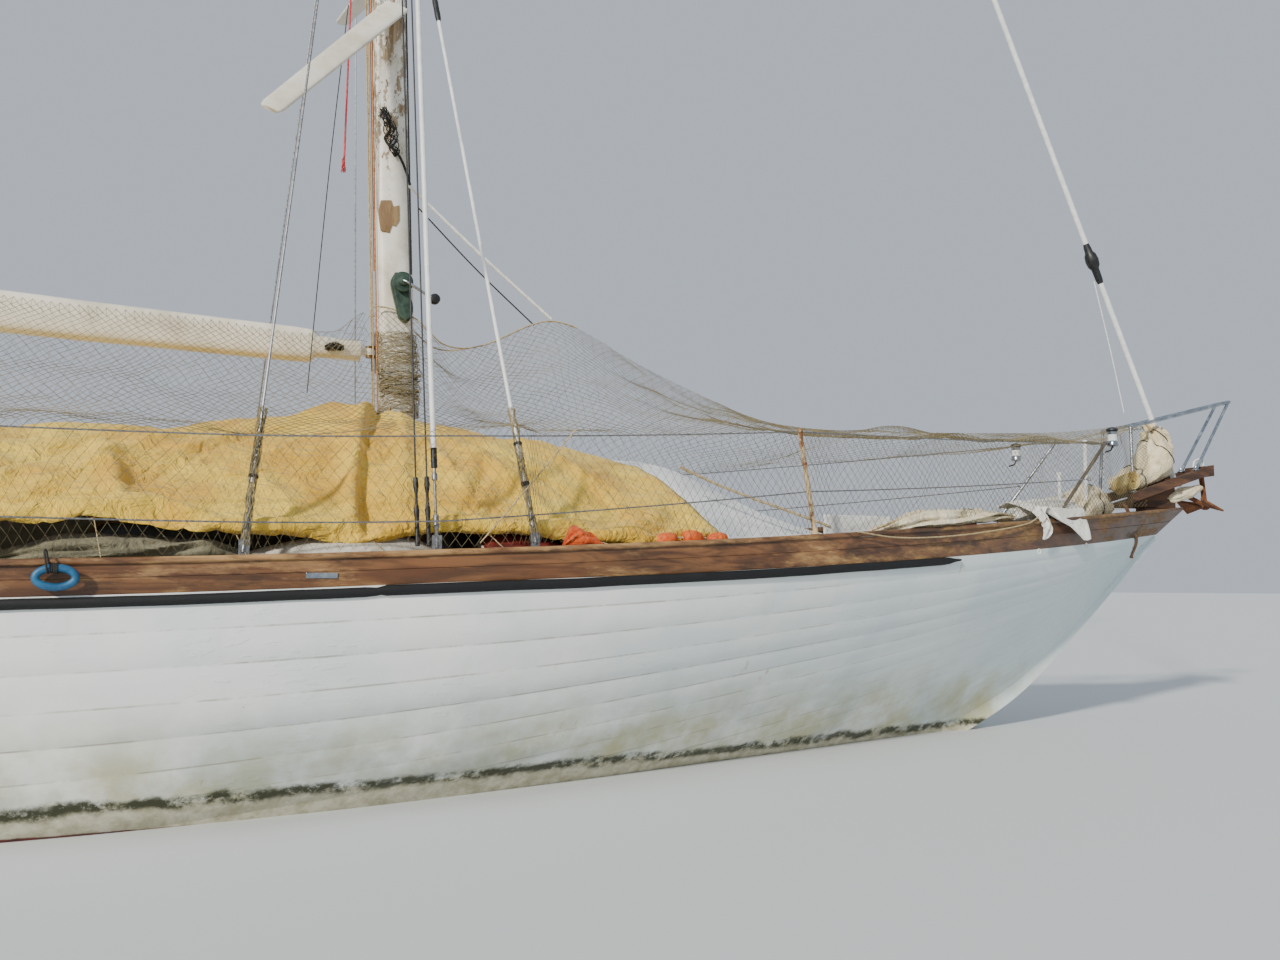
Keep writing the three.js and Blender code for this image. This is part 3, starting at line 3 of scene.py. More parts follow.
import bmesh
import bpy
import numpy as np
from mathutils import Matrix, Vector


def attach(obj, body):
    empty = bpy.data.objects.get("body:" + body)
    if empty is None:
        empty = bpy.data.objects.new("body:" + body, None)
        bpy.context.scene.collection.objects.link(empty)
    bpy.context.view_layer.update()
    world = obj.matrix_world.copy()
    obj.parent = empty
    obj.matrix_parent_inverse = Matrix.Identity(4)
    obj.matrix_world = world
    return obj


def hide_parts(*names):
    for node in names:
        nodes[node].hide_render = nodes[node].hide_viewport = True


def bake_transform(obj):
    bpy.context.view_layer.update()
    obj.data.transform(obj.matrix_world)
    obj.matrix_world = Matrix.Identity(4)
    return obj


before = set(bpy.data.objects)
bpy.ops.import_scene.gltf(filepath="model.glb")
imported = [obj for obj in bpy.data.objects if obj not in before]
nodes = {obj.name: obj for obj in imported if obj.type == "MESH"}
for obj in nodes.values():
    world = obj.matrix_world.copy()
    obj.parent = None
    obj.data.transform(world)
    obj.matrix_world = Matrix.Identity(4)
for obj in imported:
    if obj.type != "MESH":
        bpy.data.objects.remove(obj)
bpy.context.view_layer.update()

# Camera at the photograph's place: low over the water, off the starboard waist

CAMERA_AT = (0.080, -6.378, 1.0)
CAMERA_PITCH, CAMERA_TURN = 5.705, -21
SENSOR, LENS = 36, 30.12

camera_data = bpy.data.cameras.new("camera")
camera_data.sensor_width, camera_data.lens = SENSOR, LENS
camera = bpy.data.objects.new("camera", camera_data)
camera.location = CAMERA_AT
camera.rotation_euler = (math.radians(90 + CAMERA_PITCH), 0, math.radians(CAMERA_TURN))
bpy.context.scene.collection.objects.link(camera)
bpy.context.scene.camera = camera


# Numbers: smooth lines, and noise that is the same on every run

def hermite(xs, ys, x):
    """Smooth curve through the points, as the solids' own tables are read."""
    xs, ys = np.array(xs, float), np.array(ys, float)
    slopes = np.empty_like(ys)
    slopes[1:-1] = (ys[2:] - ys[:-2]) / (xs[2:] - xs[:-2])
    slopes[0] = (ys[1] - ys[0]) / (xs[1] - xs[0])
    slopes[-1] = (ys[-1] - ys[-2]) / (xs[-1] - xs[-2])
    x = np.clip(np.asarray(x, float), xs[0], xs[-1])
    i = np.clip(np.searchsorted(xs, x, side="right") - 1, 0, len(xs) - 2)
    span = xs[i + 1] - xs[i]
    t = (x - xs[i]) / span
    return ((2 * t**3 - 3 * t**2 + 1) * ys[i] + (t**3 - 2 * t**2 + t) * span * slopes[i]
            + (3 * t**2 - 2 * t**3) * ys[i + 1] + (t**3 - t**2) * span * slopes[i + 1])


def distances(points):
    """How far along a line each of its points lies."""
    return np.concatenate([[0], np.cumsum(np.linalg.norm(np.diff(points, axis=0), axis=1))])


def smooth(points, step=0.03):
    """A smooth line through a few points, sampled about every step metres."""
    points = np.array(points, float)
    along = distances(points)
    at = np.linspace(0, along[-1], max(2, int(along[-1] / step) + 1))
    read = hermite if len(points) > 2 else lambda xs, ys, x: np.interp(x, xs, ys)
    return np.stack([read(along, points[:, k], at) for k in range(3)], axis=1)


def circle(count):
    """Angles all the way round."""
    return np.arange(count) * 2 * math.pi / count


def spot(x, y=0.0, z=0.0):
    """Places from separate coordinates, each a number or an array."""
    return np.stack(np.broadcast_arrays(x, y, z), axis=-1)


def lattice(i, seed):
    n = (i[..., 0] * 73856093) ^ (i[..., 1] * 19349663) ^ (i[..., 2] * 83492791) ^ (seed * 40503)
    n = ((n ^ (n >> 13)) * 1274126177) & 0x7FFFFFFF
    n = ((n ^ (n >> 15)) * 2246822519) & 0x7FFFFFFF
    return (n % 65521) / 65520.0


def noise(p, scale=1.0, seed=1, octaves=1):
    """Smooth noise at points in metres, from -1 to 1 for one octave."""
    p = np.asarray(p, float) * scale
    total, size = 0.0, 1.0
    for octave in range(octaves):
        i = np.floor(p).astype(np.int64)
        f = p - i
        u = f * f * (3 - 2 * f)
        value = 0.0
        for corner in np.ndindex(2, 2, 2):
            c = np.array(corner)
            weight = np.prod(np.where(c, u, 1 - u), axis=-1)
            value = value + weight * lattice(i + c, seed + octave)
        total = total + size * (2 * value - 1)
        p, size = p * 2.03, size * 0.5
    return total


def unit(v):
    v = np.asarray(v, float)
    return v / np.maximum(np.linalg.norm(v, axis=-1, keepdims=True), 1e-12)


# Shapes

BOX_FACES = [(0, 1, 3, 2), (4, 6, 7, 5), (0, 4, 5, 1), (2, 3, 7, 6), (0, 2, 6, 4), (1, 5, 7, 3)]
UP = (0, 0, 1)


def across_of(axis, guide, spare):
    """Two directions square to an axis; spare stands in where the axis runs along guide."""
    side = unit(np.cross(axis, guide if abs(np.dot(axis, guide)) < 0.9 else spare))
    return side, np.cross(axis, side)


class Shape:
    """Points and faces of one piece, gathered from simple forms."""

    def __init__(self):
        self.points, self.faces, self.count = [], [], 0

    def add(self, points, faces):
        points = np.asarray(points, float).reshape(-1, 3)
        self.points.append(points)
        self.faces += [tuple(int(i) + self.count for i in face) for face in faces]
        self.count += len(points)
        return self

    def rings(self, rings, around=True, ends=True, along=False):
        """Skin over rows of points; around closes each row, along joins the last row to the first."""
        rings = np.asarray(rings, float)
        n, m = rings.shape[:2]
        faces = []
        for r in range(n if along else n - 1):
            s = (r + 1) % n
            for i in range(m if around else m - 1):
                j = (i + 1) % m
                faces.append((r * m + i, r * m + j, s * m + j, s * m + i))
        if ends and around and not along:
            faces += [tuple(reversed(range(m))), tuple(range((n - 1) * m, n * m))]
        return self.add(rings, faces)

    def tube(self, path, radius, sides=8, ends=True):
        path = np.asarray(path, float)
        radius = np.broadcast_to(np.asarray(radius, float), (len(path),))
        way = unit(np.gradient(path, axis=0))
        side = across_of(way[0], UP, (0, 1, 0))[0]
        turn = circle(sides)[:, None]
        rings = []
        for p, t, r in zip(path, way, radius):
            side = unit(side - t * np.dot(side, t))
            rings.append(p + r * (np.cos(turn) * side + np.sin(turn) * np.cross(t, side)))
        return self.rings(rings, ends=ends)

    def lathe(self, profile, origin, axis=UP, sides=24):
        """profile is rows of radius and height along the axis."""
        axis = unit(axis)
        side, up = across_of(axis, (0, 1, 0), (1, 0, 0))
        turn = circle(sides)[:, None]
        return self.rings([np.asarray(origin) + axis * h + max(r, 1e-4) * (
            np.cos(turn) * side + np.sin(turn) * up) for r, h in profile])

    def box(self, corner, opposite, place=None):
        low, high = np.sort([corner, opposite], axis=0)
        points = np.where(list(np.ndindex(2, 2, 2)), high, low)
        return self.add(points if place is None else place(points), BOX_FACES)

    def ring(self, centre, radius, thick, axis, sides=28, around=8, stretch=1.0):
        """A closed hoop about the axis, longer across by stretch."""
        axis = unit(axis)
        side, up = across_of(axis, UP, (1, 0, 0))
        turn = circle(around)[:, None]
        rings = []
        for a in circle(sides):
            out = stretch * math.cos(a) * side + math.sin(a) * up
            away = unit(math.cos(a) * side + stretch * math.sin(a) * up)
            rings.append(np.asarray(centre) + radius * out
                         + thick * (np.cos(turn) * away + np.sin(turn) * axis))
        return self.rings(rings, along=True)

    def mirrored(self):
        other = Shape()
        other.points = [points * [1, -1, 1] for points in self.points]
        other.faces = [tuple(reversed(face)) for face in self.faces]
        other.count = self.count
        return other


def make(name, shape, material, body="boat", node=(), angle=40, bevel=0.0, thick=0.0, values=None):
    """A piece of the scene; node names the solid or solids that it replaces."""
    mesh = bpy.data.meshes.new(name)
    mesh.from_pydata(np.concatenate(shape.points).tolist(), [], shape.faces)
    held = bmesh.new()
    held.from_mesh(mesh)
    bmesh.ops.recalc_face_normals(held, faces=held.faces)
    held.to_mesh(mesh)
    held.free()
    for key, numbers in (values or {}).items():
        mesh.attributes.new(key, "FLOAT", "POINT").data.foreach_set("value", np.ravel(numbers))
    mesh.materials.append(material)
    mesh.polygons.foreach_set("use_smooth", [True] * len(mesh.polygons))
    mesh.set_sharp_from_angle(angle=math.radians(angle))
    obj = bpy.data.objects.new(name, mesh)
    bpy.context.scene.collection.objects.link(obj)
    if bevel:
        edge = obj.modifiers.new("bevel", "BEVEL")
        edge.width, edge.segments, edge.limit_method = bevel, 2, "ANGLE"
        edge.angle_limit = math.radians(35)
    if thick:
        thicken(obj, thick)
    if body:
        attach(obj, body)
    if node:
        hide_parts(*([node] if isinstance(node, str) else node))
    return obj


def thicken(obj, thick):
    shell = obj.modifiers.new("thick", "SOLIDIFY")
    shell.thickness, shell.offset = thick, 0


# Materials: every colour follows a pattern in the piece's own space

def tint(text):
    parts = [int(text[i:i + 2], 16) / 255 for i in (0, 2, 4)]
    return tuple(c / 12.92 if c <= 0.04045 else ((c + 0.055) / 1.055) ** 2.4 for c in parts) + (1.0,)


class Finish:
    """One material, written as sums of patterns; a value is a number or a node's output."""

    def __init__(self, name, rough=0.6, metal=0.0, **sockets):
        self.material = bpy.data.materials.new(name)
        self.material.use_nodes = True
        self.tree = self.material.node_tree
        self.shader = self.tree.nodes["Principled BSDF"]
        self.shader.inputs["Roughness"].default_value = rough
        self.shader.inputs["Metallic"].default_value = metal
        for key, value in sockets.items():
            self.shader.inputs[key.replace("_", " ")].default_value = value
        self.place = self.node("ShaderNodeTexCoord").outputs["Object"]

    def node(self, kind, **settings):
        made = self.tree.nodes.new(kind)
        for key, value in settings.items():
            setattr(made, key, value)
        return made

    def link(self, value, socket):
        if isinstance(value, bpy.types.NodeSocket):
            self.tree.links.new(value, socket)
        else:
            socket.default_value = tint(value) if isinstance(value, str) else value

    def texture(self, kind, scale, stretch=None, **settings):
        """A texture in the piece's own space, drawn out along its axes by stretch."""
        made = self.node(kind, **settings)
        place = self.place
        if stretch:
            mapping = self.node("ShaderNodeMapping")
            self.link(self.place, mapping.inputs["Vector"])
            mapping.inputs["Scale"].default_value = stretch
            place = mapping.outputs["Vector"]
        self.link(place, made.inputs["Vector"])
        made.inputs["Scale"].default_value = scale
        return made

    def noise(self, scale, detail=4.0, rough=0.6, stretch=None, swirl=0.0):
        made = self.texture("ShaderNodeTexNoise", scale, stretch)
        for key, value in (("Detail", detail), ("Roughness", rough), ("Distortion", swirl)):
            made.inputs[key].default_value = value
        return made.outputs["Fac"]

    def axis(self, name):
        made = self.node("ShaderNodeSeparateXYZ")
        self.link(self.place, made.inputs["Vector"])
        return made.outputs[name]

    def calc(self, operation, a, b=0.0):
        made = self.node("ShaderNodeMath", operation=operation)
        self.link(a, made.inputs[0])
        self.link(b, made.inputs[1])
        return made.outputs["Value"]

    def times(self, a, b):
        return self.calc("MULTIPLY", a, b)

    def plus(self, a, b):
        return self.calc("ADD", a, b)

    def less(self, a, b):
        return self.calc("SUBTRACT", a, b)

    def band(self, value, low, high, start=0.0, end=1.0):
        """value from low to high becomes start to end, smoothly and within them."""
        made = self.node("ShaderNodeMapRange", interpolation_type="SMOOTHSTEP")
        for socket, number in zip(("Value", "From Min", "From Max", "To Min", "To Max"),
                                  (value, low, high, start, end)):
            self.link(number, made.inputs[socket])
        return made.outputs["Result"]

    def mix(self, share, a, b):
        made = self.node("ShaderNodeMix", data_type="RGBA")
        for value, socket in ((share, made.inputs["Factor"]), (a, made.inputs[6]), (b, made.inputs[7])):
            self.link(value, socket)
        return made.outputs[2]

    def done(self, colour, height=None, rough=None):
        """height is the bump's in metres."""
        self.link(colour, self.shader.inputs["Base Color"])
        if rough is not None:
            self.link(rough, self.shader.inputs["Roughness"])
        if height is not None:
            bump = self.node("ShaderNodeBump")
            bump.inputs["Distance"].default_value = 1.0
            self.link(height, bump.inputs["Height"])
            self.link(bump.outputs["Normal"], self.shader.inputs["Normal"])
        return self.material


def weathered_white(f, high, fore, broad):
    """White topsides: bluer forward as painted shade and painted sky reflection, stained low down, with
    streaks, dark seams and chips.
    """
    colour = f.mix(f.band(broad, 0.35, 0.7), "f4f5f1", "dfe8e8")
    streak = f.band(f.noise(7, 6, 0.7, (1, 1, 0.12)), 0.55, 0.8)
    colour = f.mix(f.times(streak, 0.35), colour, "c9c5ae")
    # Bluer towards the bow: painted shade and a painted sky reflection where the side turns from the sun.
    colour = f.mix(f.times(f.band(fore, 1.5, 6.0), 0.6), colour, "bcd3d8")
    stain = f.times(f.band(high, 0.15, 0.62, 1.0, 0.0), f.band(f.noise(2.6, 5, 0.65), 0.34, 0.68))
    colour = f.mix(f.times(stain, 0.85), colour, "b7b07a")
    cloud = f.times(f.band(high, 0.1, 0.75, 1.0, 0.0), f.band(f.noise(1.9, 3), 0.45, 0.62))
    colour = f.mix(f.times(cloud, 0.42), colour, "a9b6b9")
    rust = f.times(f.band(f.noise(9, 5, 0.75, (1, 1, 0.07)), 0.63, 0.76),
                   f.band(f.noise(1.1, 2), 0.5, 0.62))
    colour = f.mix(f.times(rust, 0.6), colour, "a98450")
    mark = f.node("ShaderNodeAttribute", attribute_name="seam").outputs["Fac"]
    seam = f.times(mark, f.band(f.noise(3.1, 5, 0.7), 0.38, 0.6))
    colour = f.mix(f.times(seam, f.band(fore, 2.2, 5.0, 0.75, 0.12)), colour, "857c62")
    specks = f.texture("ShaderNodeTexVoronoi", 16, (1, 1, 1.6)).outputs["Distance"]
    chips = f.times(f.band(specks, 0.07, 0.03), f.band(f.noise(2.2, 3), 0.58, 0.66))
    return f.mix(chips, colour, "5a5a4c")


def hull_paint():
    """White over a belt of growth at the water, and red antifouling below it."""
    f = Finish("hull_paint", 0.5)
    up, fore, broad = f.axis("Z"), f.axis("X"), f.noise(1.3, 4, 0.6)
    wobble = f.times(f.less(f.noise(5, 6, 0.7), 0.5), 0.11)
    high = f.plus(up, wobble)
    colour = weathered_white(f, high, fore, broad)
    line = f.less(high, f.band(fore, 0.5, 5.0, 0.115, 0.05))
    growth = f.mix(f.band(f.noise(14, 6, 0.7), 0.3, 0.7), "a7a184", "d5d1bb")
    colour = f.mix(f.band(line, 0.006, -0.012), colour, growth)
    slime = f.times(f.band(f.calc("ABSOLUTE", line), 0.042, 0.010),
                    f.band(f.noise(6, 6, 0.75), 0.36, 0.52))
    colour = f.mix(slime, colour, "34361f")
    foot = f.less(f.plus(up, f.times(wobble, 0.22)), f.band(fore, -3.0, 1.0, 0.055, -0.01))
    red = f.mix(f.band(f.noise(11, 6, 0.7), 0.35, 0.7), "4a1713", "6e2a20")
    red = f.mix(f.band(f.noise(5, 5, 0.8), 0.56, 0.7), red, "4c5036")
    colour = f.mix(f.band(foot, 0.004, -0.004), colour, red)
    ridges = f.times(f.band(f.noise(22, 3, 0.5, (0.5, 1, 1.5)), 0.56, 0.62),
                     f.band(f.noise(1.4, 3), 0.48, 0.64))
    height = f.plus(f.times(f.noise(45, 5, 0.65), 0.0007), f.times(ridges, 0.0011))
    height = f.plus(height, f.times(f.noise(3.5, 2), 0.004))
    return f.done(colour, height, f.band(broad, 0.3, 0.7, 0.34, 0.55))


def old_varnish(name, wear):
    """Brown timber; the varnish is worn to bare pale wood in places."""
    f = Finish(name, 0.5)
    grain = f.noise(60, 6, 0.6, (0.06, 1, 1), 0.4)
    rings = f.noise(18, 4, 0.5, (0.06, 1, 1), 1.2)
    wood = f.mix(f.band(rings, 0.35, 0.65), "4f3522", "7f5836")
    wood = f.mix(f.times(f.band(grain, 0.52, 0.75), 0.7), wood, "3a2014")
    red = f.band(f.noise(1.7, 4, 0.6, (0.35, 1, 1)), 0.46, 0.7)
    wood = f.mix(f.times(red, 0.45), wood, "87502a")
    worn = f.band(f.noise(3.2, 7, 0.72, (0.28, 1, 1.3)), 0.72 - 0.3 * wear, 0.84 - 0.3 * wear)
    bare = f.mix(f.band(grain, 0.4, 0.6), "93704a", "b9935f")
    colour = f.mix(f.times(worn, 0.85), wood, bare)
    dark = f.band(f.noise(5, 7, 0.75, (0.35, 1, 1.4)), 0.50, 0.66)
    # Darker towards the bow: painted shade where the rail turns from the sun.
    colour = f.mix(f.times(f.band(f.axis("X"), 3.0, 5.6), 0.5), colour, "35241a")
    colour = f.mix(f.times(dark, 0.7), colour, "33241a")
    height = f.plus(f.times(grain, 0.0012), f.times(worn, -0.0006))
    return f.done(colour, height, f.band(worn, 0, 1, 0.38, 0.8))


def peeling_paint(name, paint="e4dfd0", more=None, share=0.5):
    """White paint that came off in flakes; more is the height above which most is gone."""
    f = Finish(name, 0.55)
    grain = f.noise(70, 5, 0.6, (1, 1, 0.05), 0.3)
    wood = f.mix(f.band(grain, 0.35, 0.7), "8b7355", "b7a68a")
    wood = f.mix(f.band(f.noise(9, 5, 0.7, (1, 1, 0.3)), 0.55, 0.7), wood, "5b4836")
    flake = f.noise(13, 8, 0.78, (1, 1, 0.45))
    if more is not None:
        flake = f.plus(flake, f.band(f.axis("Z"), more - 0.35, more + 0.35, -0.13, 0.10))
    bare = f.band(flake, 0.78 - 0.3 * share, 0.81 - 0.3 * share)
    old = f.mix(f.band(f.noise(2.4, 5, 0.7), 0.4, 0.75), paint, "c7bfa9")
    streak = f.band(f.noise(30, 4, 0.7, (1, 1, 0.08)), 0.6, 0.8)
    old = f.mix(f.times(streak, 0.4), old, "8f8569")
    height = f.plus(f.times(bare, -0.0015), f.times(grain, 0.0005))
    return f.done(f.mix(bare, old, wood), height, f.band(bare, 0, 1, 0.42, 0.85))


def cloth(name, base, light, dirt, scale=1.0, dirty=0.5, stains="6f6848", crumple=1.0):
    """Woven cloth with marks, blots and small creases; crumple deepens the creases."""
    f = Finish(name, 0.85, Sheen_Weight=0.15)
    colour = f.mix(f.band(f.noise(2.2 * scale, 5, 0.65), 0.3, 0.7), base, light)
    marks = f.band(f.noise(6 * scale, 7, 0.75), 0.66 - 0.16 * dirty, 0.8 - 0.1 * dirty)
    colour = f.mix(f.times(marks, 0.55), colour, dirt)
    blots = f.band(f.noise(16 * scale, 5, 0.7), 0.64, 0.72)
    colour = f.mix(f.times(blots, 0.4 * dirty), colour, stains)
    threads = []
    for direction in "XZ":
        wave = f.texture("ShaderNodeTexWave", 700 / 6.3, wave_type="BANDS", bands_direction=direction)
        wave.inputs["Distortion"].default_value = 0.6
        threads.append(wave.outputs["Fac"])
    height = f.plus(f.times(f.plus(*threads), 0.0002), f.times(f.noise(24 * scale, 5, 0.6), 0.004))
    height = f.plus(height, f.times(f.noise(9 * scale, 3, 0.5, None, 1.2), 0.008 * crumple))
    crease = f.calc("ABSOLUTE", f.less(f.noise(7 * scale, 4, 0.6, None, 0.8), 0.5))
    return f.done(colour, f.plus(height, f.times(crease, 0.030 * crumple)))


def plain(name, base, other, scale=8, rough=0.6, metal=0.0, bump=0.0004, low=0.35, high=0.7,
          stretch=None, **sockets):
    """Two colours in clouds; scale is how many clouds there are to a metre."""
    f = Finish(name, rough, metal, **sockets)
    pattern = f.noise(scale, 6, 0.7, stretch)
    height = f.times(f.noise(scale * 5, 4, 0.6, stretch), bump)
    return f.done(f.mix(f.band(pattern, low, high), base, other), height,
                  f.band(pattern, low, high, rough, min(1.0, rough + 0.2)))


def laid_rope(name, base, other, pitch=26, between="3b3428"):
    """Rope, with painted shade between its fine strands."""
    f = Finish(name, 0.85)
    strand = f.noise(pitch * 6, 2, 0.4)
    colour = f.mix(f.band(f.noise(40, 5, 0.7), 0.3, 0.7), base, other)
    # Darker between the strands: painted shade.
    colour = f.mix(f.times(f.band(strand, 0.5, 0.7), 0.5), colour, between)
    return f.done(colour, f.times(strand, 0.002))


BOARD_WIDE = 0.062


def deck_boards():
    """Grey boards along the boat with dark seams between them."""
    f = Finish("deck_boards", 0.75)
    across = f.calc("FRACT", f.times(f.axis("Y"), 1 / BOARD_WIDE))
    seam = f.band(f.calc("ABSOLUTE", f.less(across, 0.5)), 0.44, 0.47)
    wood = f.mix(f.noise(30, 5, 0.6, (0.05, 1, 1)), "8b8068", "b7a98b")
    wood = f.mix(f.times(f.band(f.noise(2.5, 6, 0.7), 0.5, 0.7), 0.5), wood, "6d6552")
    return f.done(f.mix(seam, wood, "26241f"), f.times(seam, -0.002))


PAINT = hull_paint()
VARNISH = old_varnish("old_varnish", 0.76)
CAP_WOOD = old_varnish("weathered_cap", 0.95)
TIMBER = plain("oiled_timber", "3a261b", "6a4a33", 22, 0.7, stretch=(0.1, 1, 1), bump=0.001)
MAST_PAINT = peeling_paint("mast_paint", paint="efebe0", more=3.45, share=0.66)
SPAR_PAINT = peeling_paint("spar_paint", share=0.42)
BOOM_PAINT = peeling_paint("boom_paint", paint="f3ecd9", share=0.34)
RUBBER = plain("black_rubber", "07080a", "14171a", 9, 0.65, bump=0.001)
DECK = deck_boards()
TRUNK_PAINT = plain("trunk_paint", "5a5c50", "8a897b", 5, 0.6, bump=0.001)
ROOF_PAINT = plain("roof_paint", "b4b5ab", "d0cfc4", 5, 0.7, bump=0.001)
TARP_CLOTH = cloth("tarp_cloth", "dca82a", "f6d352", "8a6c2c", dirty=0.8, crumple=2.2)
SHEET_CLOTH = cloth("sheet_cloth", "c9ced3", "eef0ef", "9aa4ae", dirty=0.3, stains="6b6f70")
CANVAS = cloth("canvas", "d8c79e", "efe3c4", "94794c", 2.2, dirty=0.9)
WHITE_CANVAS = cloth("white_canvas", "d6d6cc", "f0efe8", "a09c86", 2.5, dirty=0.5)
ORANGE_CLOTH = cloth("orange_cloth", "d5480f", "ee6a25", "8f3512", 3, dirty=0.4)
STEEL = plain("polished_tube", "8f979e", "c3c8cc", 12, 0.16, 1.0, bump=0.0002)
WIRE = plain("rigging_wire", "77777a", "a9a9a8", 60, 0.35, 0.9, bump=0.0004)
WHITE_TUBE = plain("white_plastic_tube", "d9dcdb", "f1f2f0", 20, 0.35)
RUST = plain("rusty_iron", "5b3320", "8a5a35", 20, 0.85, 0.25, bump=0.003)
OLD_POST = plain("rusty_cream_post", "c2ab84", "7a4b2e", 11, 0.75, 0.1, bump=0.001, low=0.48, high=0.6)
BRONZE = plain("dull_bronze", "6a5230", "94743c", 16, 0.4, 0.85)
GREEN = plain("green_winch_paint", "24382f", "41574a", 18, 0.45, 0.3, bump=0.001)
BLUE = plain("blue_plastic", "12466e", "23668f", 14, 0.35, bump=0.0006)
RED_HULL = plain("dark_red_gelcoat", "5e1d18", "84352c", 6, 0.35, bump=0.0008)
OLIVE_COVER = cloth("olive_cover", "6f6b56", "8f8a70", "4d4a3a", 2.0, dirty=0.6)
WHITE_RIM = plain("white_rubber_rim", "bcb5a5", "ded9cd", 16, 0.6, bump=0.001)
GLASS = plain("window_glass", "0b0f12", "1d262c", 3, 0.06, Specular_IOR_Level=0.8)
ANTIFOUL = plain("antifouling", "4a1713", "6e2a20", 9, 0.75, bump=0.002)
ENGINE = plain("engine_paint", "3e5246", "55695b", 9, 0.55, 0.2)
NET = plain("net_twine", "756a4c", "a39672", 3, 0.9)
DARK_NET = plain("dark_line", "1a1b1c", "38352e", 6, 0.8)
TAN_ROPE = laid_rope("tan_rope", "a48f66", "cbb98f")
WHITE_ROPE = laid_rope("white_rope", "e6e5df", "f8f7f3", 20, "b9b6aa")
RED_ROPE = laid_rope("red_rope", "b8303c", "d65a60")
ORANGE_ROPE = laid_rope("orange_rope", "b9673c", "d79a6c")
BARE_WOOD = plain("bare_wood", "7d6244", "a68c66", 14, 0.85, stretch=(1, 1, 0.2), bump=0.003)
BLACK_TAPE = plain("black_tape", "0e0f10", "26282a", 30, 0.4)
INSIDE = plain("inside_paint", "a9a493", "c6c1b0", 4, 0.7)

for names, material in (
        ("deck", DECK), ("bulwark cap_rail stem_head taffrail", VARNISH),
        ("cabin_trunk companionway_bulkhead", TRUNK_PAINT), ("coachroof", ROOF_PAINT),
        ("companionway_door hatch_runners companionway_hatch cockpit_coaming forehatch_coaming "
         "forehatch_lid tiller", VARNISH), ("engine", ENGINE),
        ("cockpit_winch rudder_heel_shoe propeller gooseneck mizzen_gooseneck", BRONZE),
        ("ballast_keel rudder_blade hull", ANTIFOUL), ("samson_post bow_platform", TIMBER),
        ("mizzen_mast mizzen_boom spreader_port spreader_starboard", SPAR_PAINT),
        ("main_mast", MAST_PAINT), ("main_boom", BOOM_PAINT), ("mast_winch", GREEN),
        ("rub_strake", RUBBER), ("anchor", RUST), ("pulpit", STEEL),
        ("aft_lower_shroud fore_lower_shroud cap_shroud backstay mizzen_shrouds lifelines", WIRE),
        ("forestay", WHITE_TUBE), ("stowed_dinghy", RED_HULL)):
    for name in names.split():
        for full in (name, name + "_port", name + "_starboard"):
            if full in nodes:
                nodes[full].data.materials.clear()
                nodes[full].data.materials.append(material)

# Light and floor: low warm sun from aft on the starboard side, pale sky, water level floor

SUN_FROM, SUN_POWER, SUN_COLOUR = (-0.72, -0.60, 0.45), 4.4, (1.0, 0.94, 0.84)
SKY_COLOUR, SKY_POWER = (0.80, 0.88, 1.0, 1), 0.66

sun_data = bpy.data.lights.new("sun", "SUN")
sun_data.energy, sun_data.angle, sun_data.color = SUN_POWER, math.radians(4), SUN_COLOUR
sun = bpy.data.objects.new("sun", sun_data)
sun.rotation_euler = Vector(SUN_FROM).to_track_quat("Z", "Y").to_euler()
bpy.context.scene.collection.objects.link(sun)

world = bpy.data.worlds.new("sky")
world.use_nodes = True
world.node_tree.nodes["Background"].inputs["Color"].default_value = SKY_COLOUR
world.node_tree.nodes["Background"].inputs["Strength"].default_value = SKY_POWER
bpy.context.scene.world = world

FLOOR = Finish("floor", 0.9)
FLOOR.done("cfd3d4")
bpy.ops.mesh.primitive_plane_add(size=300, location=(0, 0, 0))
floor = bpy.context.object
floor.name = "floor"
floor.data.materials.append(FLOOR.material)

# Lines of the hull, in metres

SECTION_X = [-7.1, -6.5, -5.8, -5.0, -4.0, -2.5, -1.0, 0.5, 1.6, 2.8, 4.0, 5.0, 5.485, 6.013, 6.5, 6.79]
CANOE = [0.76, 0.56, 0.33, 0.05, -0.37, -0.84, -1.01, -0.99, -0.885, -0.68, -0.36, 0.05, 0.306, 0.73,
         1.147, 1.395]
BEAM = [0.4, 0.76, 1.06, 1.3, 1.515, 1.69, 1.725, 1.69, 1.605, 1.4, 1.1, 0.8, 0.63, 0.415, 0.19, 0.062]
FULL = [2.4, 2.6, 2.8, 2.95, 2.8, 2.65, 2.55, 2.1, 1.74, 1.5, 1.5, 1.5, 1.5, 1.5, 1.5, 1.5]
HOLLOW = [1, 1, 1, 1, 1, 1, 1, 1.02, 1.08, 1.15, 1.25, 1.3, 1.3, 1.3, 1.3, 1.3]
KEEL_X = [-4.4, -3.75, -2.5, -1.0, 0.4, 0.9, 1.4, 2.0, 2.6, 3.2]
KEEL_Z = [-0.24, -2.14, -2.14, -2.14, -2.14, -2.0, -1.7, -1.29, -0.95, -0.66]
KEEL_HALF = [0.05, 0.052, 0.11, 0.15, 0.14, 0.12, 0.1, 0.075, 0.06, 0.052]
STERN_X, BOW_X, STEM_TOP_X = -7.1, 6.79, 7.035
CAP_THICK, BULWARK_THICK = 0.028, 0.045


def rail_top(x):
    return 1.075 + 0.0057 * (np.asarray(x) + 3) ** 2


def sheer(x):
    return rail_top(x) - 0.145 - 0.0125 * np.maximum(0, np.asarray(x) - 1)


def beam(x):
    return hermite(SECTION_X, BEAM, x)


def canoe(x):
    return hermite(SECTION_X, CANOE, x)


def bottom(x):
    timber = canoe(x) - 0.05
    in_keel = (x >= KEEL_X[0]) & (x <= KEEL_X[-1])
    return np.where(in_keel, np.minimum(timber, np.interp(x, KEEL_X, KEEL_Z)), timber)


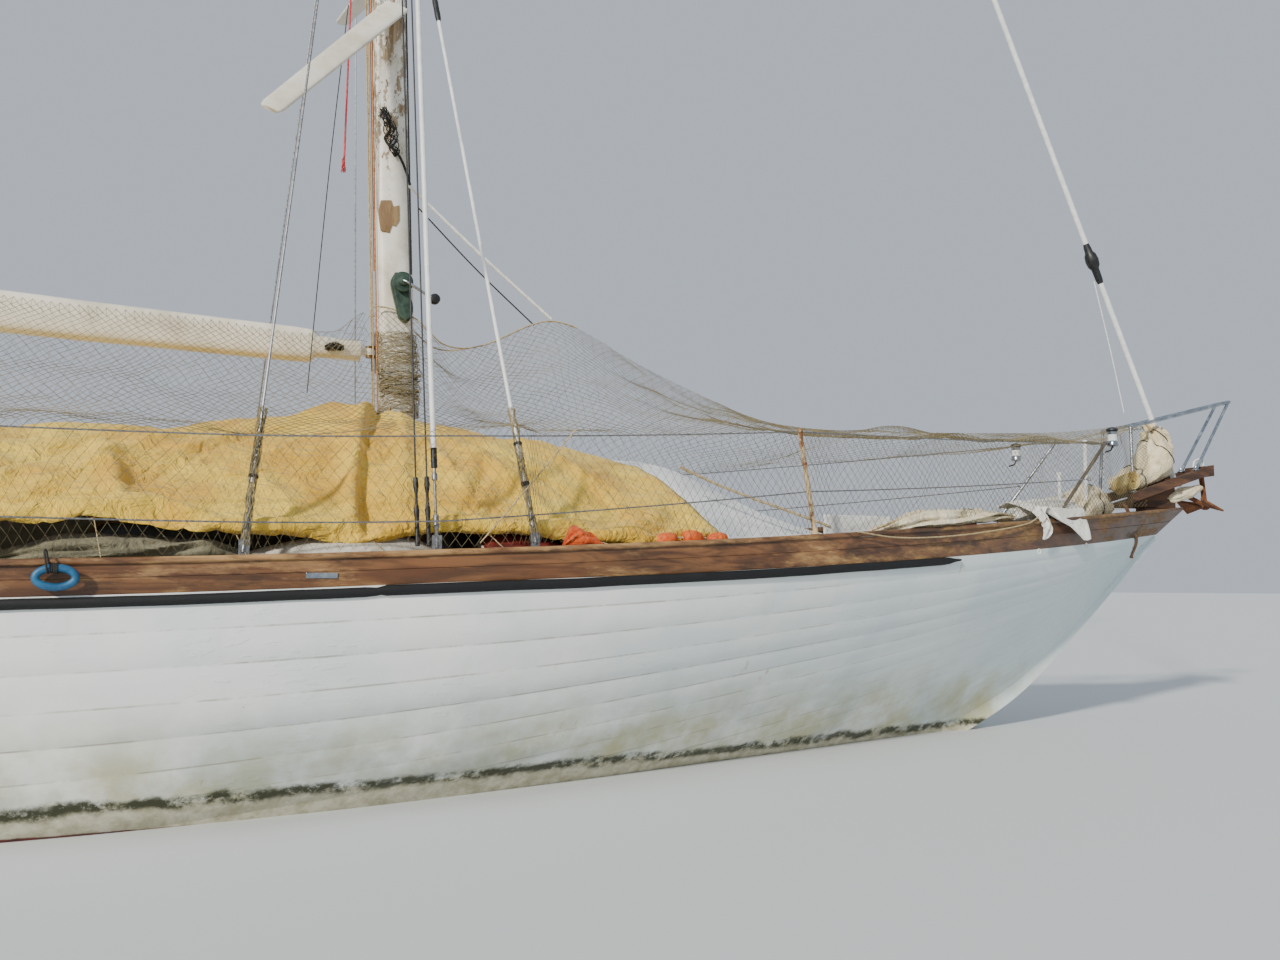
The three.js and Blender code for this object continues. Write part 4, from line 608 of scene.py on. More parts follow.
def half_breadth(x, z):
    low, keel = canoe(x), np.interp(x, KEEL_X, KEEL_HALF)
    up = np.clip((z - low) / (sheer(x) - low), 0, 1)
    skin = beam(x) * (1 - (1 - up ** hermite(SECTION_X, HOLLOW, x)) ** hermite(SECTION_X, FULL, x))
    return np.where(z <= low, keel, np.hypot(skin, keel * (1 - up)))


def bow_share(x):
    return np.clip((np.asarray(x) - 3.5) / (BOW_X - 3.5), 0, 1) ** 2


def flare(x):
    return 0.030 * bow_share(x)


def rake(x):
    return (STEM_TOP_X - BOW_X) * bow_share(x)


def deck_edge(x):
    return beam(x) - BULWARK_THICK


def deck_top(x, y):
    return sheer(x) + 0.045 * beam(x) * (1 - (y / deck_edge(x)) ** 2) + 0.0353


def rail_y(x):
    return beam(x) + flare(x) - BULWARK_THICK / 2


def stops(start, end, step=0.06):
    return np.linspace(start, end, int((end - start) / step) + 1)


# Planked skin: each strake is flat across and ends at a shallow seam

STRAKES = 18
FIN_ROWS = 6
SEAM_HALF = 0.006


def skin_rows(x):
    """Heights and seam marks down one side, from the sheer to the keel's foot."""
    low, top, foot = canoe(x), sheer(x), bottom(x)
    fine = low + (top - low) * np.linspace(0, 1, 240) ** 1.6
    girth = distances(np.column_stack([fine, half_breadth(x, fine)]))
    half = SEAM_HALF / girth[-1]
    rows, marks = [top], [0.0]
    for k in range(1, STRAKES):
        seam = 1 - k / STRAKES
        for at, mark in ((seam + 0.5 / STRAKES, 0), (seam + half, 0), (seam, 1), (seam - half, 0)):
            rows.append(np.interp(at * girth[-1], girth, fine))
            marks.append(mark)
    rows += [np.interp(0.5 / STRAKES * girth[-1], girth, fine), low]
    rows += list(np.linspace(low, foot, FIN_ROWS + 1)[1:])
    return np.array(rows), np.array(marks + [0.0] * (2 + FIN_ROWS))


skin_x = stops(STERN_X, BOW_X, 0.055)
sides, seams = [], []
for x in skin_x:
    z, mark = skin_rows(x)
    y = half_breadth(x, z)
    y[-1] = max(y[-1] * 0.6, 0.02)
    sides.append(spot(x, y, z))
    seams.append(mark)
sides, seams = np.array(sides), np.array(seams)
skin = sides.copy()
swell = 0.0022 * noise(sides, 2.3, 5, 2) + 0.0012 * noise(sides * [0.4, 1, 4], 3.0, 9, 2)
plank = 0.0014 * noise(spot(sides[..., 0] * 0.15, seams.cumsum(axis=1)), 1.0, 21)
across = unit(np.cross(np.gradient(sides, axis=1), np.gradient(sides, axis=0)))
across *= np.sign(across[..., 1:2] + 1e-9)
inner = (sides[..., 2] > canoe(sides[..., 0]) + 0.02) & (sides[..., 2] < sheer(sides[..., 0]) - 0.05)
skin += across * ((swell + plank - 0.0014 * seams) * inner)[..., None]
around = np.concatenate([skin, skin[:, ::-1] * [1, -1, 1]], axis=1)
marks = np.concatenate([seams, seams[:, ::-1]], axis=1)
hull_shape = Shape().rings(around, around=False, ends=False)
m = around.shape[1]
last = (len(skin_x) - 1) * m
for row in range(m // 2 - 1):
    hull_shape.faces.append((row, m - 1 - row, m - 2 - row, row + 1))
    hull_shape.faces.append((last + row, last + row + 1, last + m - 2 - row, last + m - 1 - row))
hull_skin = make("hull_skin", hull_shape, PAINT, node="hull", angle=50, values={"seam": marks})

# Rails along the sheer

SIDES = ((1, "port"), (-1, "starboard"))


def both(name, shape, material, angle):
    """The port piece as built, and its mirror image to starboard."""
    for side, word in SIDES:
        form = shape if side > 0 else shape.mirrored()
        make(f"{name}_{word}", form, material, node=f"{name}_{word}", angle=angle)


def strip(xs, outline, foot, head, share_foot=0.0, share_head=1.0):
    """Rings along the sheer; the outline is rows of offset outboard and share of the height."""
    x = np.asarray(xs)[:, None]
    out, up = np.array(outline).T[:, None]
    share = share_foot + (share_head - share_foot) * up
    y = np.maximum(beam(x) + flare(x) * share + out, np.where(out < -0.03, 0.0503, 0.0563))
    return spot(x + rake(x) * share, y, foot(x) + (head(x) - foot(x)) * up)


CORNER_WIDE = 0.011


def rounded(inner, outer, corner):
    """Outline of a bar with round corners; corner is their share of its height."""
    outline = []
    for x, z, start in ((outer - CORNER_WIDE, 1 - corner, 0), (inner + CORNER_WIDE, 1 - corner, 90),
                        (inner + CORNER_WIDE, corner, 180), (outer - CORNER_WIDE, corner, 270)):
        for a in np.radians(np.linspace(start, start + 90, 4)):
            outline.append((x + CORNER_WIDE * math.cos(a), z + corner * math.sin(a)))
    return outline


PLANK_OUT = [(0.0, 0.0), (0.001, 0.03), (0.001, 0.55), (-0.003, 0.56), (0.001, 0.57), (0.001, 1.0),
             (-0.045, 1.0), (-0.045, 0.5), (-0.045, 0.0)]
rail_x = stops(STERN_X, BOW_X, 0.07)
planks = strip(rail_x, PLANK_OUT, lambda x: sheer(x) + 0.0003, lambda x: rail_top(x) - CAP_THICK)
planks[:, 1:6, 1] += 0.0015 * noise(planks[:, 1:6] * [0.3, 1, 2], 4, 3)
both("bulwark", Shape().rings(planks), VARNISH, angle=35)

cap_x = stops(STERN_X, BOW_X - 0.01, 0.05)
cap = strip(cap_x, rounded(-0.079, 0.016, 0.36), lambda x: rail_top(x) - CAP_THICK + 0.0003,
            lambda x: rail_top(x) + 0.0003, 1.0, 1.0)
cap[..., 2] += 0.0012 * noise(cap * [1, 1, 0], 6, 8, 2)
both("cap_rail", Shape().rings(cap), CAP_WOOD, angle=50)

# Black rubbing strake in two lengths that overlap amidships

STRAKE_OUT = [(0.0006, 0.0), (0.014, 0.02), (0.021, 0.2), (0.024, 0.5), (0.021, 0.8), (0.014, 0.98),
              (0.0006, 1.0)]


def strake_run(start, end, drop, thin):
    xs = stops(start, end, 0.05)
    rings = strip(xs, STRAKE_OUT, lambda x: sheer(x) - 0.047, lambda x: sheer(x) - 0.0002, 0, 0)
    lay = beam(1.0) - half_breadth(1.0, sheer(1.0) - 0.04)
    rings[..., 1] -= 0.9 * lay * (1 - np.array(STRAKE_OUT)[:, 1])
    fade = np.clip((xs - start) / 0.1, 0.25, 1) * np.clip((end - xs) / 0.12, 0.25, 1)
    middle = rings[..., 2].mean(axis=1, keepdims=True)
    rings[..., 2] = middle + (rings[..., 2] - middle) * (thin * fade)[:, None] - drop
    rings[..., 2] += 0.0016 * noise(rings * [1, 0, 0], 3.1, 12, 2)
    rings[..., 1] += 0.0012 * noise(rings * [1, 0, 0], 5.3, 31, 2)
    return rings


strake = Shape().rings(strake_run(STERN_X, 0.78, 0.004, 0.92))
strake.rings(strake_run(0.62, 4.18, 0.0, 1.0))
both("rub_strake", strake, RUBBER, angle=60)

# Spars, in the mast's own frame: up along the mast from its heel, which leans aft

MAST_RAKE = math.atan(0.04)
MAST_HEEL = np.array([1.012, 0, 1.1314])
MAST_FORE, MAST_SIDE = 0.100, 0.095
MAST_UP, MAST_SCALE = [0, 9.5, 13.5, 16.13], [1, 0.95, 0.8, 0.6]


def from_mast(points):
    """Points given as forward of the mast's line, to port, and up along it."""
    fore, port, up = np.moveaxis(np.asarray(points, float), -1, 0)
    c, s = math.cos(MAST_RAKE), math.sin(MAST_RAKE)
    return np.stack([fore * c - up * s, port, fore * s + up * c], axis=-1) + MAST_HEEL


MAST_WAY = from_mast(UP) - MAST_HEEL


def mast_point(fore, port, up):
    return from_mast((fore, port, up))


def mast_scale(up):
    return np.interp(up, MAST_UP, MAST_SCALE)


def oval(fore, side, turns=28, power=4.0):
    """Rows of fore and side of a spar's section, square with round corners."""
    c, s = np.cos(circle(turns)), np.sin(circle(turns))
    return np.stack([fore * bent(c, 2 / power), side * bent(s, 2 / power)], axis=1)


def bent(values, power):
    """Each value to a power, with its sign kept."""
    return np.sign(values) * np.abs(values) ** power


def spar(ups, fore, side, power=4.0, turns=28):
    """Rings across the third axis, for a spar that stands along it."""
    return np.array([np.column_stack([oval(f, s, turns, power), np.full(turns, up)])
                     for up, f, s in zip(ups, fore, side)])


ups = np.concatenate([np.linspace(0.001, 5.2, 130), np.linspace(5.3, 16.13, 90)])
pole = spar(ups, MAST_FORE * mast_scale(ups), MAST_SIDE * mast_scale(ups))
rough = 0.0016 * noise(pole * [4, 4, 1], 2.2, 41, 3) * (pole[..., 2:] > 0.1)[..., 0]
pole[..., :2] *= 1 + (rough / MAST_SIDE)[..., None]
make("main_mast_pole", Shape().rings(from_mast(pole)), MAST_PAINT, node="main_mast", angle=60)

track = Shape().box((-0.112, -0.014, 1.75), (-0.098, 0.014, 9.4), from_mast)
make("sail_track", track, BRONZE, bevel=0.002)

BOOM_PIN = (-0.145, 0, 1.255)
BOOM_TILT = 0.0755
BOOM_AT, BOOM_HIGH, BOOM_WIDE = ([0.052, 0.30, 0.33, 0.42, 2.0, 3.6, 5.18],
                                 [0.056, 0.060, 0.092, 0.097, 0.110, 0.106, 0.080],
                                 [0.056, 0.060, 0.070, 0.074, 0.078, 0.076, 0.060])


def from_boom(points):
    """Points given as distance aft of the pin, to port, and up."""
    aft, port, up = np.moveaxis(np.asarray(points, float), -1, 0)
    c, s = math.cos(BOOM_TILT), math.sin(BOOM_TILT)
    return from_mast(np.stack([up * s - aft * c, port, aft * s + up * c], axis=-1) + BOOM_PIN)


aft = np.concatenate([[0.052, 0.06, 0.29, 0.302, 0.318, 0.33, 0.35], np.linspace(0.42, 5.12, 100),
                      [5.15, 5.17, 5.18]])
high = np.interp(aft, BOOM_AT, BOOM_HIGH)
wide = np.interp(aft, BOOM_AT, BOOM_WIDE)
high[-2:], wide[-2:] = high[-2:] * [0.96, 0.85], wide[-2:] * [0.96, 0.85]
high[0], wide[0] = high[0] * 0.9, wide[0] * 0.9
rings = spar(aft, high, wide, 3.4)[..., [2, 1, 0]]
rings[..., 2] += 0.0015 * noise(rings * [1, 0, 0], 2.0, 14, 2)
boom_shape = Shape().rings(from_boom(rings))
boom_shape.box((0.010, -0.018, -0.020), (0.080, 0.018, 0.020), from_boom)
boom_shape.lathe([(0.022, -0.020), (0.022, 0.020)], mast_point(*BOOM_PIN), MAST_WAY)
make("main_boom_pole", boom_shape, BOOM_PAINT, body="main_boom", node="main_boom", angle=45)


def board(root, tip, chord, tip_chord, thick):
    """A spreader: a thin wing-shaped board between two points of the mast's frame."""
    a, b = np.array(root, float), np.array(tip, float)
    way = unit(b - a)
    fore = unit(np.array([1.0, 0, 0]) - way * way[0])
    up = np.cross(fore, way)
    rings = []
    for t in np.concatenate([np.linspace(0, 0.97, 24), [0.99, 1.0]]):
        width = (chord + (tip_chord - chord) * t) / 2 * np.interp(t, [0.97, 0.99, 1], [1, 0.9, 0.7])
        depth = thick / 2 * np.interp(t, [0.97, 0.99], [1, 0.8])
        section = oval(width, depth, 20, 3.0)
        rings.append(a + (b - a) * t + section[:, :1] * fore + section[:, 1:] * up)
    return Shape().rings(from_mast(rings))


make("spreader_board_port", board((0, 0.085, 3.665), (-0.15, 1.22, 3.90), 0.15, 0.09, 0.03), SPAR_PAINT,
     node="spreader_port", angle=60)
make("spreader_board_starboard", board((0.04, -0.09, 3.37), (-0.725, -0.84, 2.31), 0.15, 0.12, 0.027),
     SPAR_PAINT, node="spreader_starboard", angle=60)

MIZZEN_X = -5.93
mizzen_heel = deck_top(MIZZEN_X, 0.0)
mizzen_up = np.linspace(0, 7.2, 60)
radius = np.interp(mizzen_up, [0, 7.2], [0.062, 0.038])
mizzen_rings = spar(mizzen_up, radius, radius, 2.0, 24) + np.array([MIZZEN_X, 0, mizzen_heel])
make("mizzen_mast_pole", Shape().rings(mizzen_rings), SPAR_PAINT, node="mizzen_mast", angle=60)

# Standing rigging: turnbuckle and wire, and the plate or tang at each end

SCREW_FORK = [(0.009, -0.03), (0.009, 0.05), (0.013, 0.055), (0.014, 0.075), (0.010, 0.082), (0.0095, 0.10)]
SCREW_BARREL = [(0.0125, 0.09), (0.013, 0.115), (0.0065, 0.12), (0.0065, 0.27), (0.013, 0.275),
                (0.0125, 0.30), (0.008, 0.31), (0.0075, 0.34)]
WIRE_START, TANG_OUT = 0.33, 0.014


def stay(shape, foot, head, radius=0.0055):
    """A turnbuckle at the foot, and the wire from it to the head."""
    length = np.linalg.norm(head - foot)
    way = unit(head - foot)
    shape.lathe(SCREW_FORK, foot, way, 12)
    shape.lathe(SCREW_BARREL, foot, way, 12)
    aside = unit(np.cross(way, [1, 0, 0])) * 0.010
    for rod in (foot - aside, foot + aside):
        shape.tube([rod + way * 0.10, rod + way * 0.29], 0.003, 6)
    return shape.tube([foot + way * s for s in np.linspace(WIRE_START, length, 24)], radius, 8)


def rail_point(x, side, rise=0.040, out=-0.014):
    """A place that much over the rail and outboard of its middle."""
    return np.array([x, side * (rail_y(x) + out), rail_top(x) + rise])


def chainplate(shape, x, side):
    foot = rail_point(x, side, 0.0)
    return shape.box(foot - (0.022, 0.005, 0.01), foot + (0.022, 0.005, 0.064))


def mast_half(up):
    return MAST_SIDE * mast_scale(up)


def beside_mast(up, side):
    """Where a shroud's wire ends, a little proud of the mast's side."""
    return mast_point(0, side * (mast_half(up) + TANG_OUT), up)


# Each shroud's foot along the boat and its head up the mast

SHROUDS = {"aft_lower_shroud": (0.14, 6.5), "fore_lower_shroud": (1.40, 5.08), "cap_shroud": (0.94, 15.65)}
BACKSTAY_X, BACKSTAY_UP = -6.48, 15.95
MIZZEN_SHROUD_XS, MIZZEN_SHROUD_UP = (-5.5, -6.33), 5.5


def shroud_ends(name, side=-1):
    x, up = SHROUDS[name]
    return rail_point(x, side), beside_mast(up, side)


def shroud(name, side):
    x, up = SHROUDS[name]
    shape = stay(chainplate(Shape(), x, side), *shroud_ends(name, side))
    reach = mast_half(up) + TANG_OUT
    return shape.box((-0.03, side * (reach - 0.022), up - 0.06), (0.03, side * (reach + 0.006), up + 0.06),
                     from_mast)


def backstay(side):
    face = -MAST_FORE * mast_scale(BACKSTAY_UP - 0.03) - 0.0003
    shape = stay(chainplate(Shape(), BACKSTAY_X, side), rail_point(BACKSTAY_X, side),
                 mast_point(face - 0.010, side * 0.025, BACKSTAY_UP))
    return shape.box((face - 0.020, side * 0.010, BACKSTAY_UP - 0.03),
                     (face, side * 0.040, BACKSTAY_UP + 0.03), from_mast)


def mizzen_shrouds(side):
    shape = Shape()
    head = np.array([MIZZEN_X, 0, mizzen_heel + MIZZEN_SHROUD_UP])
    for x in MIZZEN_SHROUD_XS:
        stay(chainplate(shape, x, side), rail_point(x, side), head + (0, side * 0.050, 0), 0.0045)
    return shape.box(head + (-0.025, side * 0.044, -0.04), head + (0.025, side * 0.066, 0.04))


for name in SHROUDS:
    for side, word in SIDES:
        make(f"{name}_wire_{word}", shroud(name, side), WIRE, node=f"{name}_{word}")
for side, word in SIDES:
    make(f"backstay_wire_{word}", backstay(side), WIRE, node=f"backstay_{word}")
    make(f"mizzen_shrouds_wire_{word}", mizzen_shrouds(side), WIRE, node=f"mizzen_shrouds_{word}")

# Forestay: the wire inside a white plastic tube, taped at one joint

STAY_FOOT = np.array([7.085, 0, 1.815])
STAY_HEAD = mast_point(0.072, 0, 15.9)
stay_way = unit(STAY_HEAD - STAY_FOOT)
tube_shape = Shape().tube(np.linspace(STAY_FOOT, STAY_HEAD, 60), 0.0205, 14)
tube_shape.box((0.010, -0.016, 15.86), (0.086, 0.016, 15.96), from_mast)
make("forestay_tube", tube_shape, WHITE_TUBE, node="forestay", angle=60)

# Lifelines

# Rows of x, heights of the two lines, whether a post stands there, and how far its head leans forward

LINE_ROWS = [(-6.68, 1.700, 1.400, 1, 0), (-5.85, 1.665, 1.365, 1, 0), (-5.0, 1.640, 1.340, 1, 0),
             (-3.5, 1.620, 1.310, 1, 0), (-2.0, 1.620, 1.290, 1, 0), (0.13, 1.625, 1.265, 0, 0),
             (0.97, 1.670, 1.290, 0, 0), (3.02, 1.830, 1.510, 1, -0.095)]
BOW_ROW = {-1: (5.225, 2.025, 1.735, 1, 0.7), 1: (5.76, 2.150, 1.800, 1, 0.45)}
WEATHERED_X = 3.02
OUTBOARD = 0.014
UPPER, LOWER = 1, 2


def line_at(row, level, side):
    x, upper, _, _, lean = row
    share = (row[level] - rail_top(x)) / (upper - rail_top(x))
    far = x + lean * share
    y = rail_y(x) * (1 - share) + rail_y(far) * share + OUTBOARD
    return np.array([far, side * y, row[level]])


def sagging(points):
    """A line hung between the points, with a small belly in each length."""
    run = []
    for a, b in zip(points[:-1], points[1:]):
        sag = 0.004 * np.linalg.norm(b - a)
        for t in np.linspace(0, 1, 13)[:-1]:
            run.append(a + (b - a) * t - (0, 0, 4 * sag * t * (1 - t)))
    return run + [points[-1]]


def post(shape, row, side):
    foot, top = rail_point(row[0], side, 0.0, OUTBOARD), line_at(row, UPPER, side)
    shape.tube([foot, (foot + top) / 2, top], 0.0125, 14)
    shape.lathe([(0.0125, 0), (0.016, 0.002), (0.016, 0.010), (0.007, 0.017)], top, unit(top - foot), 14)
    shape.lathe([(0.024, 0.0005), (0.024, 0.009), (0.016, 0.013), (0.0150, 0.035), (0.0126, 0.036)], foot,
                UP, 18)
    for level in (UPPER, LOWER):
        shape.ring(line_at(row, level, side), 0.0135, 0.003, top - foot, 14, 6)


OLD_STEEL = plain("posts", "6f6a61", "8b7b68", 14, 0.5, 0.7)
for side, word in SIDES:
    lines, posts, old = Shape(), Shape(), Shape()
    rows = LINE_ROWS + [BOW_ROW[side]]
    for level in (UPPER, LOWER):
        lines.tube(sagging([line_at(row, level, side) for row in rows]), 0.004, 6)
    for row in rows:
        if row[3]:
            post(old if row[0] == WEATHERED_X else posts, row, side)
    for name, shape, material in (("lifeline_wires", lines, WIRE),
                                  ("lifeline_posts", posts, STEEL if side > 0 else OLD_STEEL),
                                  ("weathered_post", old, OLD_POST)):
        make(f"{name}_{word}", shape, material, node=f"lifelines_{word}")

# Pulpit of polished tube

def platform_z(x):
    """Middle of the platform's long timbers."""
    return np.interp(x, [6.43, 7.40], [1.668, 1.935])


pulpit = Shape()
HALF_RAIL = np.array([(6.50, 0.140, 2.222), (6.9, 0.112, 2.316), (7.30, 0.083, 2.413), (7.60, 0.062, 2.4875),
                      (7.655, 0.045, 2.500), (7.688, 0.015, 2.508)])
pulpit.tube(smooth([*(HALF_RAIL * [1, -1, 1]), *HALF_RAIL[::-1]], 0.02), 0.0138, 14)
for side in (-1, 1):
    for a, b in (((6.50, 0.140, 2.222), (6.47, 0.168, platform_z(6.47) + 0.034)),
                 ((7.63, 0.058, 2.494), (7.225, 0.072, platform_z(7.225) + 0.034))):
        a, b = np.array(a) * [1, side, 1], np.array(b) * [1, side, 1]
        pulpit.tube([a, (a + b) / 2, b], 0.0125, 14)
        pulpit.lathe([(0.028, 0.0), (0.028, 0.006), (0.016, 0.012), (0.015, 0.03)], b, UP, 16)
    pulpit.lathe([(0.0135, -0.004), (0.017, 0), (0.017, 0.02), (0.006, 0.024)],
                 np.array([6.512, side * 0.1392, 2.225]), np.array([-1, side * 0.07, -0.235]), 14)
make("pulpit_tube", pulpit, STEEL, node="pulpit", angle=60)

# Cloth laid over its own supports and settled by simulation

def grid(us, vs, place):
    """Rows of points over two ranges, with the faces between them."""
    points = np.stack(place(*np.meshgrid(us, vs, indexing="ij")), axis=-1)
    return Shape().rings(points, around=False, ends=False), points


CLOTH_STIFF, CLOTH_BEND, CLOTH_MASS = 25.0, 8.0, 0.25
CLOTH_GAP, CLOTH_THICK = 0.005, 0.002


def collider(name, shape):
    """Something for a cloth to lie on while it is simulated."""
    mesh = bpy.data.meshes.new(name)
    mesh.from_pydata(np.concatenate(shape.points).tolist(), [], shape.faces)
    below = bpy.data.objects.new(name, mesh)
    if sum(face.normal.z for face in mesh.polygons) < 0:
        mesh.flip_normals()
    bpy.context.scene.collection.objects.link(below)
    below.modifiers.new("collision", "COLLISION")
    below.collision.thickness_outer, below.collision.cloth_friction = 0.006, 8
    below.collision.use_culling = False
    return below


def cloth_modifier(obj, grow, frames, pinned):
    cloth_mod = obj.modifiers.new("cloth", "CLOTH")
    settings = cloth_mod.settings
    settings.quality, settings.mass, settings.air_damping = 7, CLOTH_MASS, 2.0
    settings.tension_stiffness = settings.compression_stiffness = CLOTH_STIFF
    settings.shear_stiffness, settings.bending_stiffness = CLOTH_STIFF * 0.6, CLOTH_BEND
    settings.shrink_min = -grow
    group = obj.vertex_groups.new(name="held")
    group.add([int(i) for i in pinned], 1.0, "REPLACE")
    settings.vertex_group_mass = "held"
    cloth_mod.collision_settings.distance_min = CLOTH_GAP
    cloth_mod.collision_settings.collision_quality = 3
    cloth_mod.point_cache.frame_start, cloth_mod.point_cache.frame_end = 1, frames
    return cloth_mod


def settle(name, shape, support, material, node, grow, frames, pinned, finer=1):
    """Cloth a little larger than its place, let down over the support; the result becomes its mesh."""
    obj = make(name, shape, material, node=node, angle=180)
    below = collider(f"{name}_support", support)
    cloth_mod = cloth_modifier(obj, grow, frames, pinned)
    scene = bpy.context.scene
    for number in range(1, frames + 1):
        scene.frame_set(number)
    settled = obj.evaluated_get(bpy.context.evaluated_depsgraph_get())
    places = np.empty(len(obj.data.vertices) * 3)
    settled.to_mesh().vertices.foreach_get("co", places)
    settled.to_mesh_clear()
    obj.modifiers.remove(cloth_mod)
    obj.data.vertices.foreach_set("co", places)
    obj.data.update()
    bpy.data.objects.remove(below)
    scene.frame_set(1)
    if finer:
        subdivided = obj.modifiers.new("finer", "SUBSURF")
        subdivided.levels = subdivided.render_levels = finer
    thicken(obj, CLOTH_THICK)
    return obj


TARP_X = [-1.5, -1.06, -0.3, 0.3, 0.76, 1.1, 1.7, 2.3]
TARP_RIDGE = [1.581, 1.82, 1.88, 1.96, 2.035, 1.985, 1.90, 1.80]
TARP_EDGE = [1.262, 1.256, 1.248, 1.206, 1.200, 1.250, 1.218, 1.225]


def trunk_side(x):
    return np.interp(x, [-2.95, 0.64], [0.93, 0.80])


def roof_height(x, y):
    half = trunk_side(x) + 0.022
    high = 1.472 + 0.095 * (1 - np.minimum(1, np.abs(y) / half) ** 2) + 0.016
    return np.where((x < 0.79) & (np.abs(y) < half + 0.12), high, 0)


TARP_FOLDS = [  # from and to as x and share of the reach, depth and width in metres
    (0.86, -0.06, 0.70, -0.55, -0.085, 0.036), (0.70, -0.55, 0.62, -1.00, -0.060, 0.034),
    (0.78, -0.08, 0.57, -0.95, 0.060, 0.045), (0.98, -0.15, 0.80, -0.95, 0.036, 0.050),
    (0.66, -0.04, -0.10, -0.55, 0.045, 0.060), (0.52, -0.10, -0.35, -0.80, -0.040, 0.040),
    (0.10, -0.15, -0.75, -0.90, 0.034, 0.050), (-0.20, -0.10, -1.10, -0.90, -0.034, 0.050),
    (1.10, -0.30, 1.62, -1.00, 0.045, 0.045), (1.20, -0.20, 1.85, -0.95, -0.040, 0.036),
    (1.62, -0.20, 2.05, -1.00, 0.044, 0.045), (1.35, -0.55, 1.05, -1.00, -0.036, 0.036),
    (1.75, -0.35, 2.10, -0.95, -0.040, 0.032), (1.00, -0.45, 1.22, -0.98, 0.030, 0.040),
    (0.15, -0.62, 0.40, -1.00, 0.026, 0.035), (-0.55, -0.35, -0.30, -1.00, 0.030, 0.045),
    (-1.10, -0.30, -0.80, -0.95, -0.026, 0.040), (0.70, 0.10, 0.30, 0.90, 0.040, 0.070),
    (1.20, 0.10, 1.70, 0.95, -0.035, 0.070),
]


def tarp_folds(x, share):
    total = 0.0
    for x0, s0, x1, s1, depth, width in TARP_FOLDS:
        way = np.array([x1 - x0, 1.6 * (s1 - s0)])
        t = np.clip(((x - x0) * way[0] + 1.6 * (share - s0) * way[1]) / way.dot(way), 0, 1)
        away = np.hypot(x - x0 - t * way[0], 1.6 * (share - s0) - t * way[1])
        strength = 0.35 + 0.65 * np.sin(math.pi * np.clip(t, 0.05, 0.9))
        total = total + depth * np.exp(-(away / width) ** 2) * strength
    return total * np.clip((1 - np.abs(share)) * 9, 0, 1)


def tarp_place(along, share, lift=0.0, lumps=0.0):
    """The fore edge slants forward to a tongue at each side."""
    x = along + np.clip((along - 1.7) / 0.6, 0, 1) * (0.30 * np.abs(share) ** 1.6 - 0.08)
    y = share * (deck_edge(x) - 0.09)
    edge = hermite(TARP_X, TARP_EDGE, x) + 0.022 * noise(spot(x), 2.6, 19, 2)
    tent = edge + (hermite(TARP_X, TARP_RIDGE, x) - edge) * (1 - np.abs(share) ** 1.65)
    z = np.maximum(tent, roof_height(x, y)) + lift + tarp_folds(x, share)
    lumpy = noise(spot(x, y, 0.3), 3.4, 77, 3)
    ridged = 0.5 - np.abs(noise(spot(x, 0.7 * y, 2.3), 5.2, 41, 2))
    return x, y, z + lumps * (lumpy + 0.8 * ridged)


tarp_us, tarp_vs = np.linspace(-1.5, 2.3, 150), np.linspace(-1, 1, 136)
tarp_shape, tarp_points = grid(tarp_us, tarp_vs, lambda x, s: tarp_place(x, s, 0.004, 0.012))
columns = len(tarp_vs)
at_mast = {i for i, p in enumerate(tarp_points.reshape(-1, 3)) if 0.86 < p[0] < 1.115 and abs(p[1]) < 0.105}
tarp_shape.faces = [face for face in tarp_shape.faces if not at_mast.intersection(face)]
under_tarp, _ = grid(np.linspace(-1.56, 2.36, 90), np.linspace(-0.975, 0.975, 70),
                     lambda x, s: tarp_place(x, s, -0.020, 0.022))
held = [row * columns + side for row in range(0, len(tarp_us), 5) for side in (0, columns - 1)]
held += range(0, columns, 9)
tarp = settle("tarpaulin_cloth", tarp_shape, under_tarp, TARP_CLOTH, "tarpaulin", 0.035, 22, held, 0)
loose = bmesh.new()
loose.from_mesh(tarp.data)
bmesh.ops.delete(loose, geom=[v for v in loose.verts if not v.link_faces], context="VERTS")
loose.to_mesh(tarp.data)
loose.free()

# White sheet on the foredeck

SHEET_X, SHEET_RIDGE = [2.18, 2.53, 3.0, 3.4, 3.72], [1.78, 1.79, 1.60, 1.44, 1.35]


def sheet_place(x, share, lift=0.0, lumps=0.0):
    reach = deck_edge(x) - 0.15
    edge = deck_top(x, reach) + 0.010
    y = share * reach
    z = edge + (hermite(SHEET_X, SHEET_RIDGE, x) - edge) * (1 - np.abs(share) ** 1.7) + lift
    z = np.maximum(z, deck_top(x, y) + 0.004)
    return x, y, z + lumps * noise(spot(x, y, 1.3), 4.1, 53, 3)


sheet_us, sheet_vs = np.linspace(2.18, 3.72, 76), np.linspace(-1, 1, 104)
sheet_shape, _ = grid(sheet_us, sheet_vs, lambda x, s: sheet_place(x, s, 0.006, 0.006))
under_sheet, _ = grid(np.linspace(2.14, 3.76, 54), np.linspace(-1, 1, 60),
                      lambda x, s: sheet_place(x, s, -0.012, 0.014))
held = [row * len(sheet_vs) + side for row in (0, 25, 50, 75) for side in (0, len(sheet_vs) - 1)]
fore_sheet = settle("foredeck_sheet_cloth", sheet_shape, under_sheet, SHEET_CLOTH, "foredeck_sheet",
                    0.03, 20, held)

# Dinghy upside down on deck: dark red skin with a white rim

DINGHY_X = [1.26, 1.70, 2.30, 2.90, 3.25, 3.40]
DINGHY_HALF = [0.64, 0.72, 0.70, 0.52, 0.28, 0.06]
DINGHY_KEEL = [1.57, 1.62, 1.60, 1.49, 1.40, 1.33]
RIM_THICK, RIM_HIGH = 0.030, 0.026


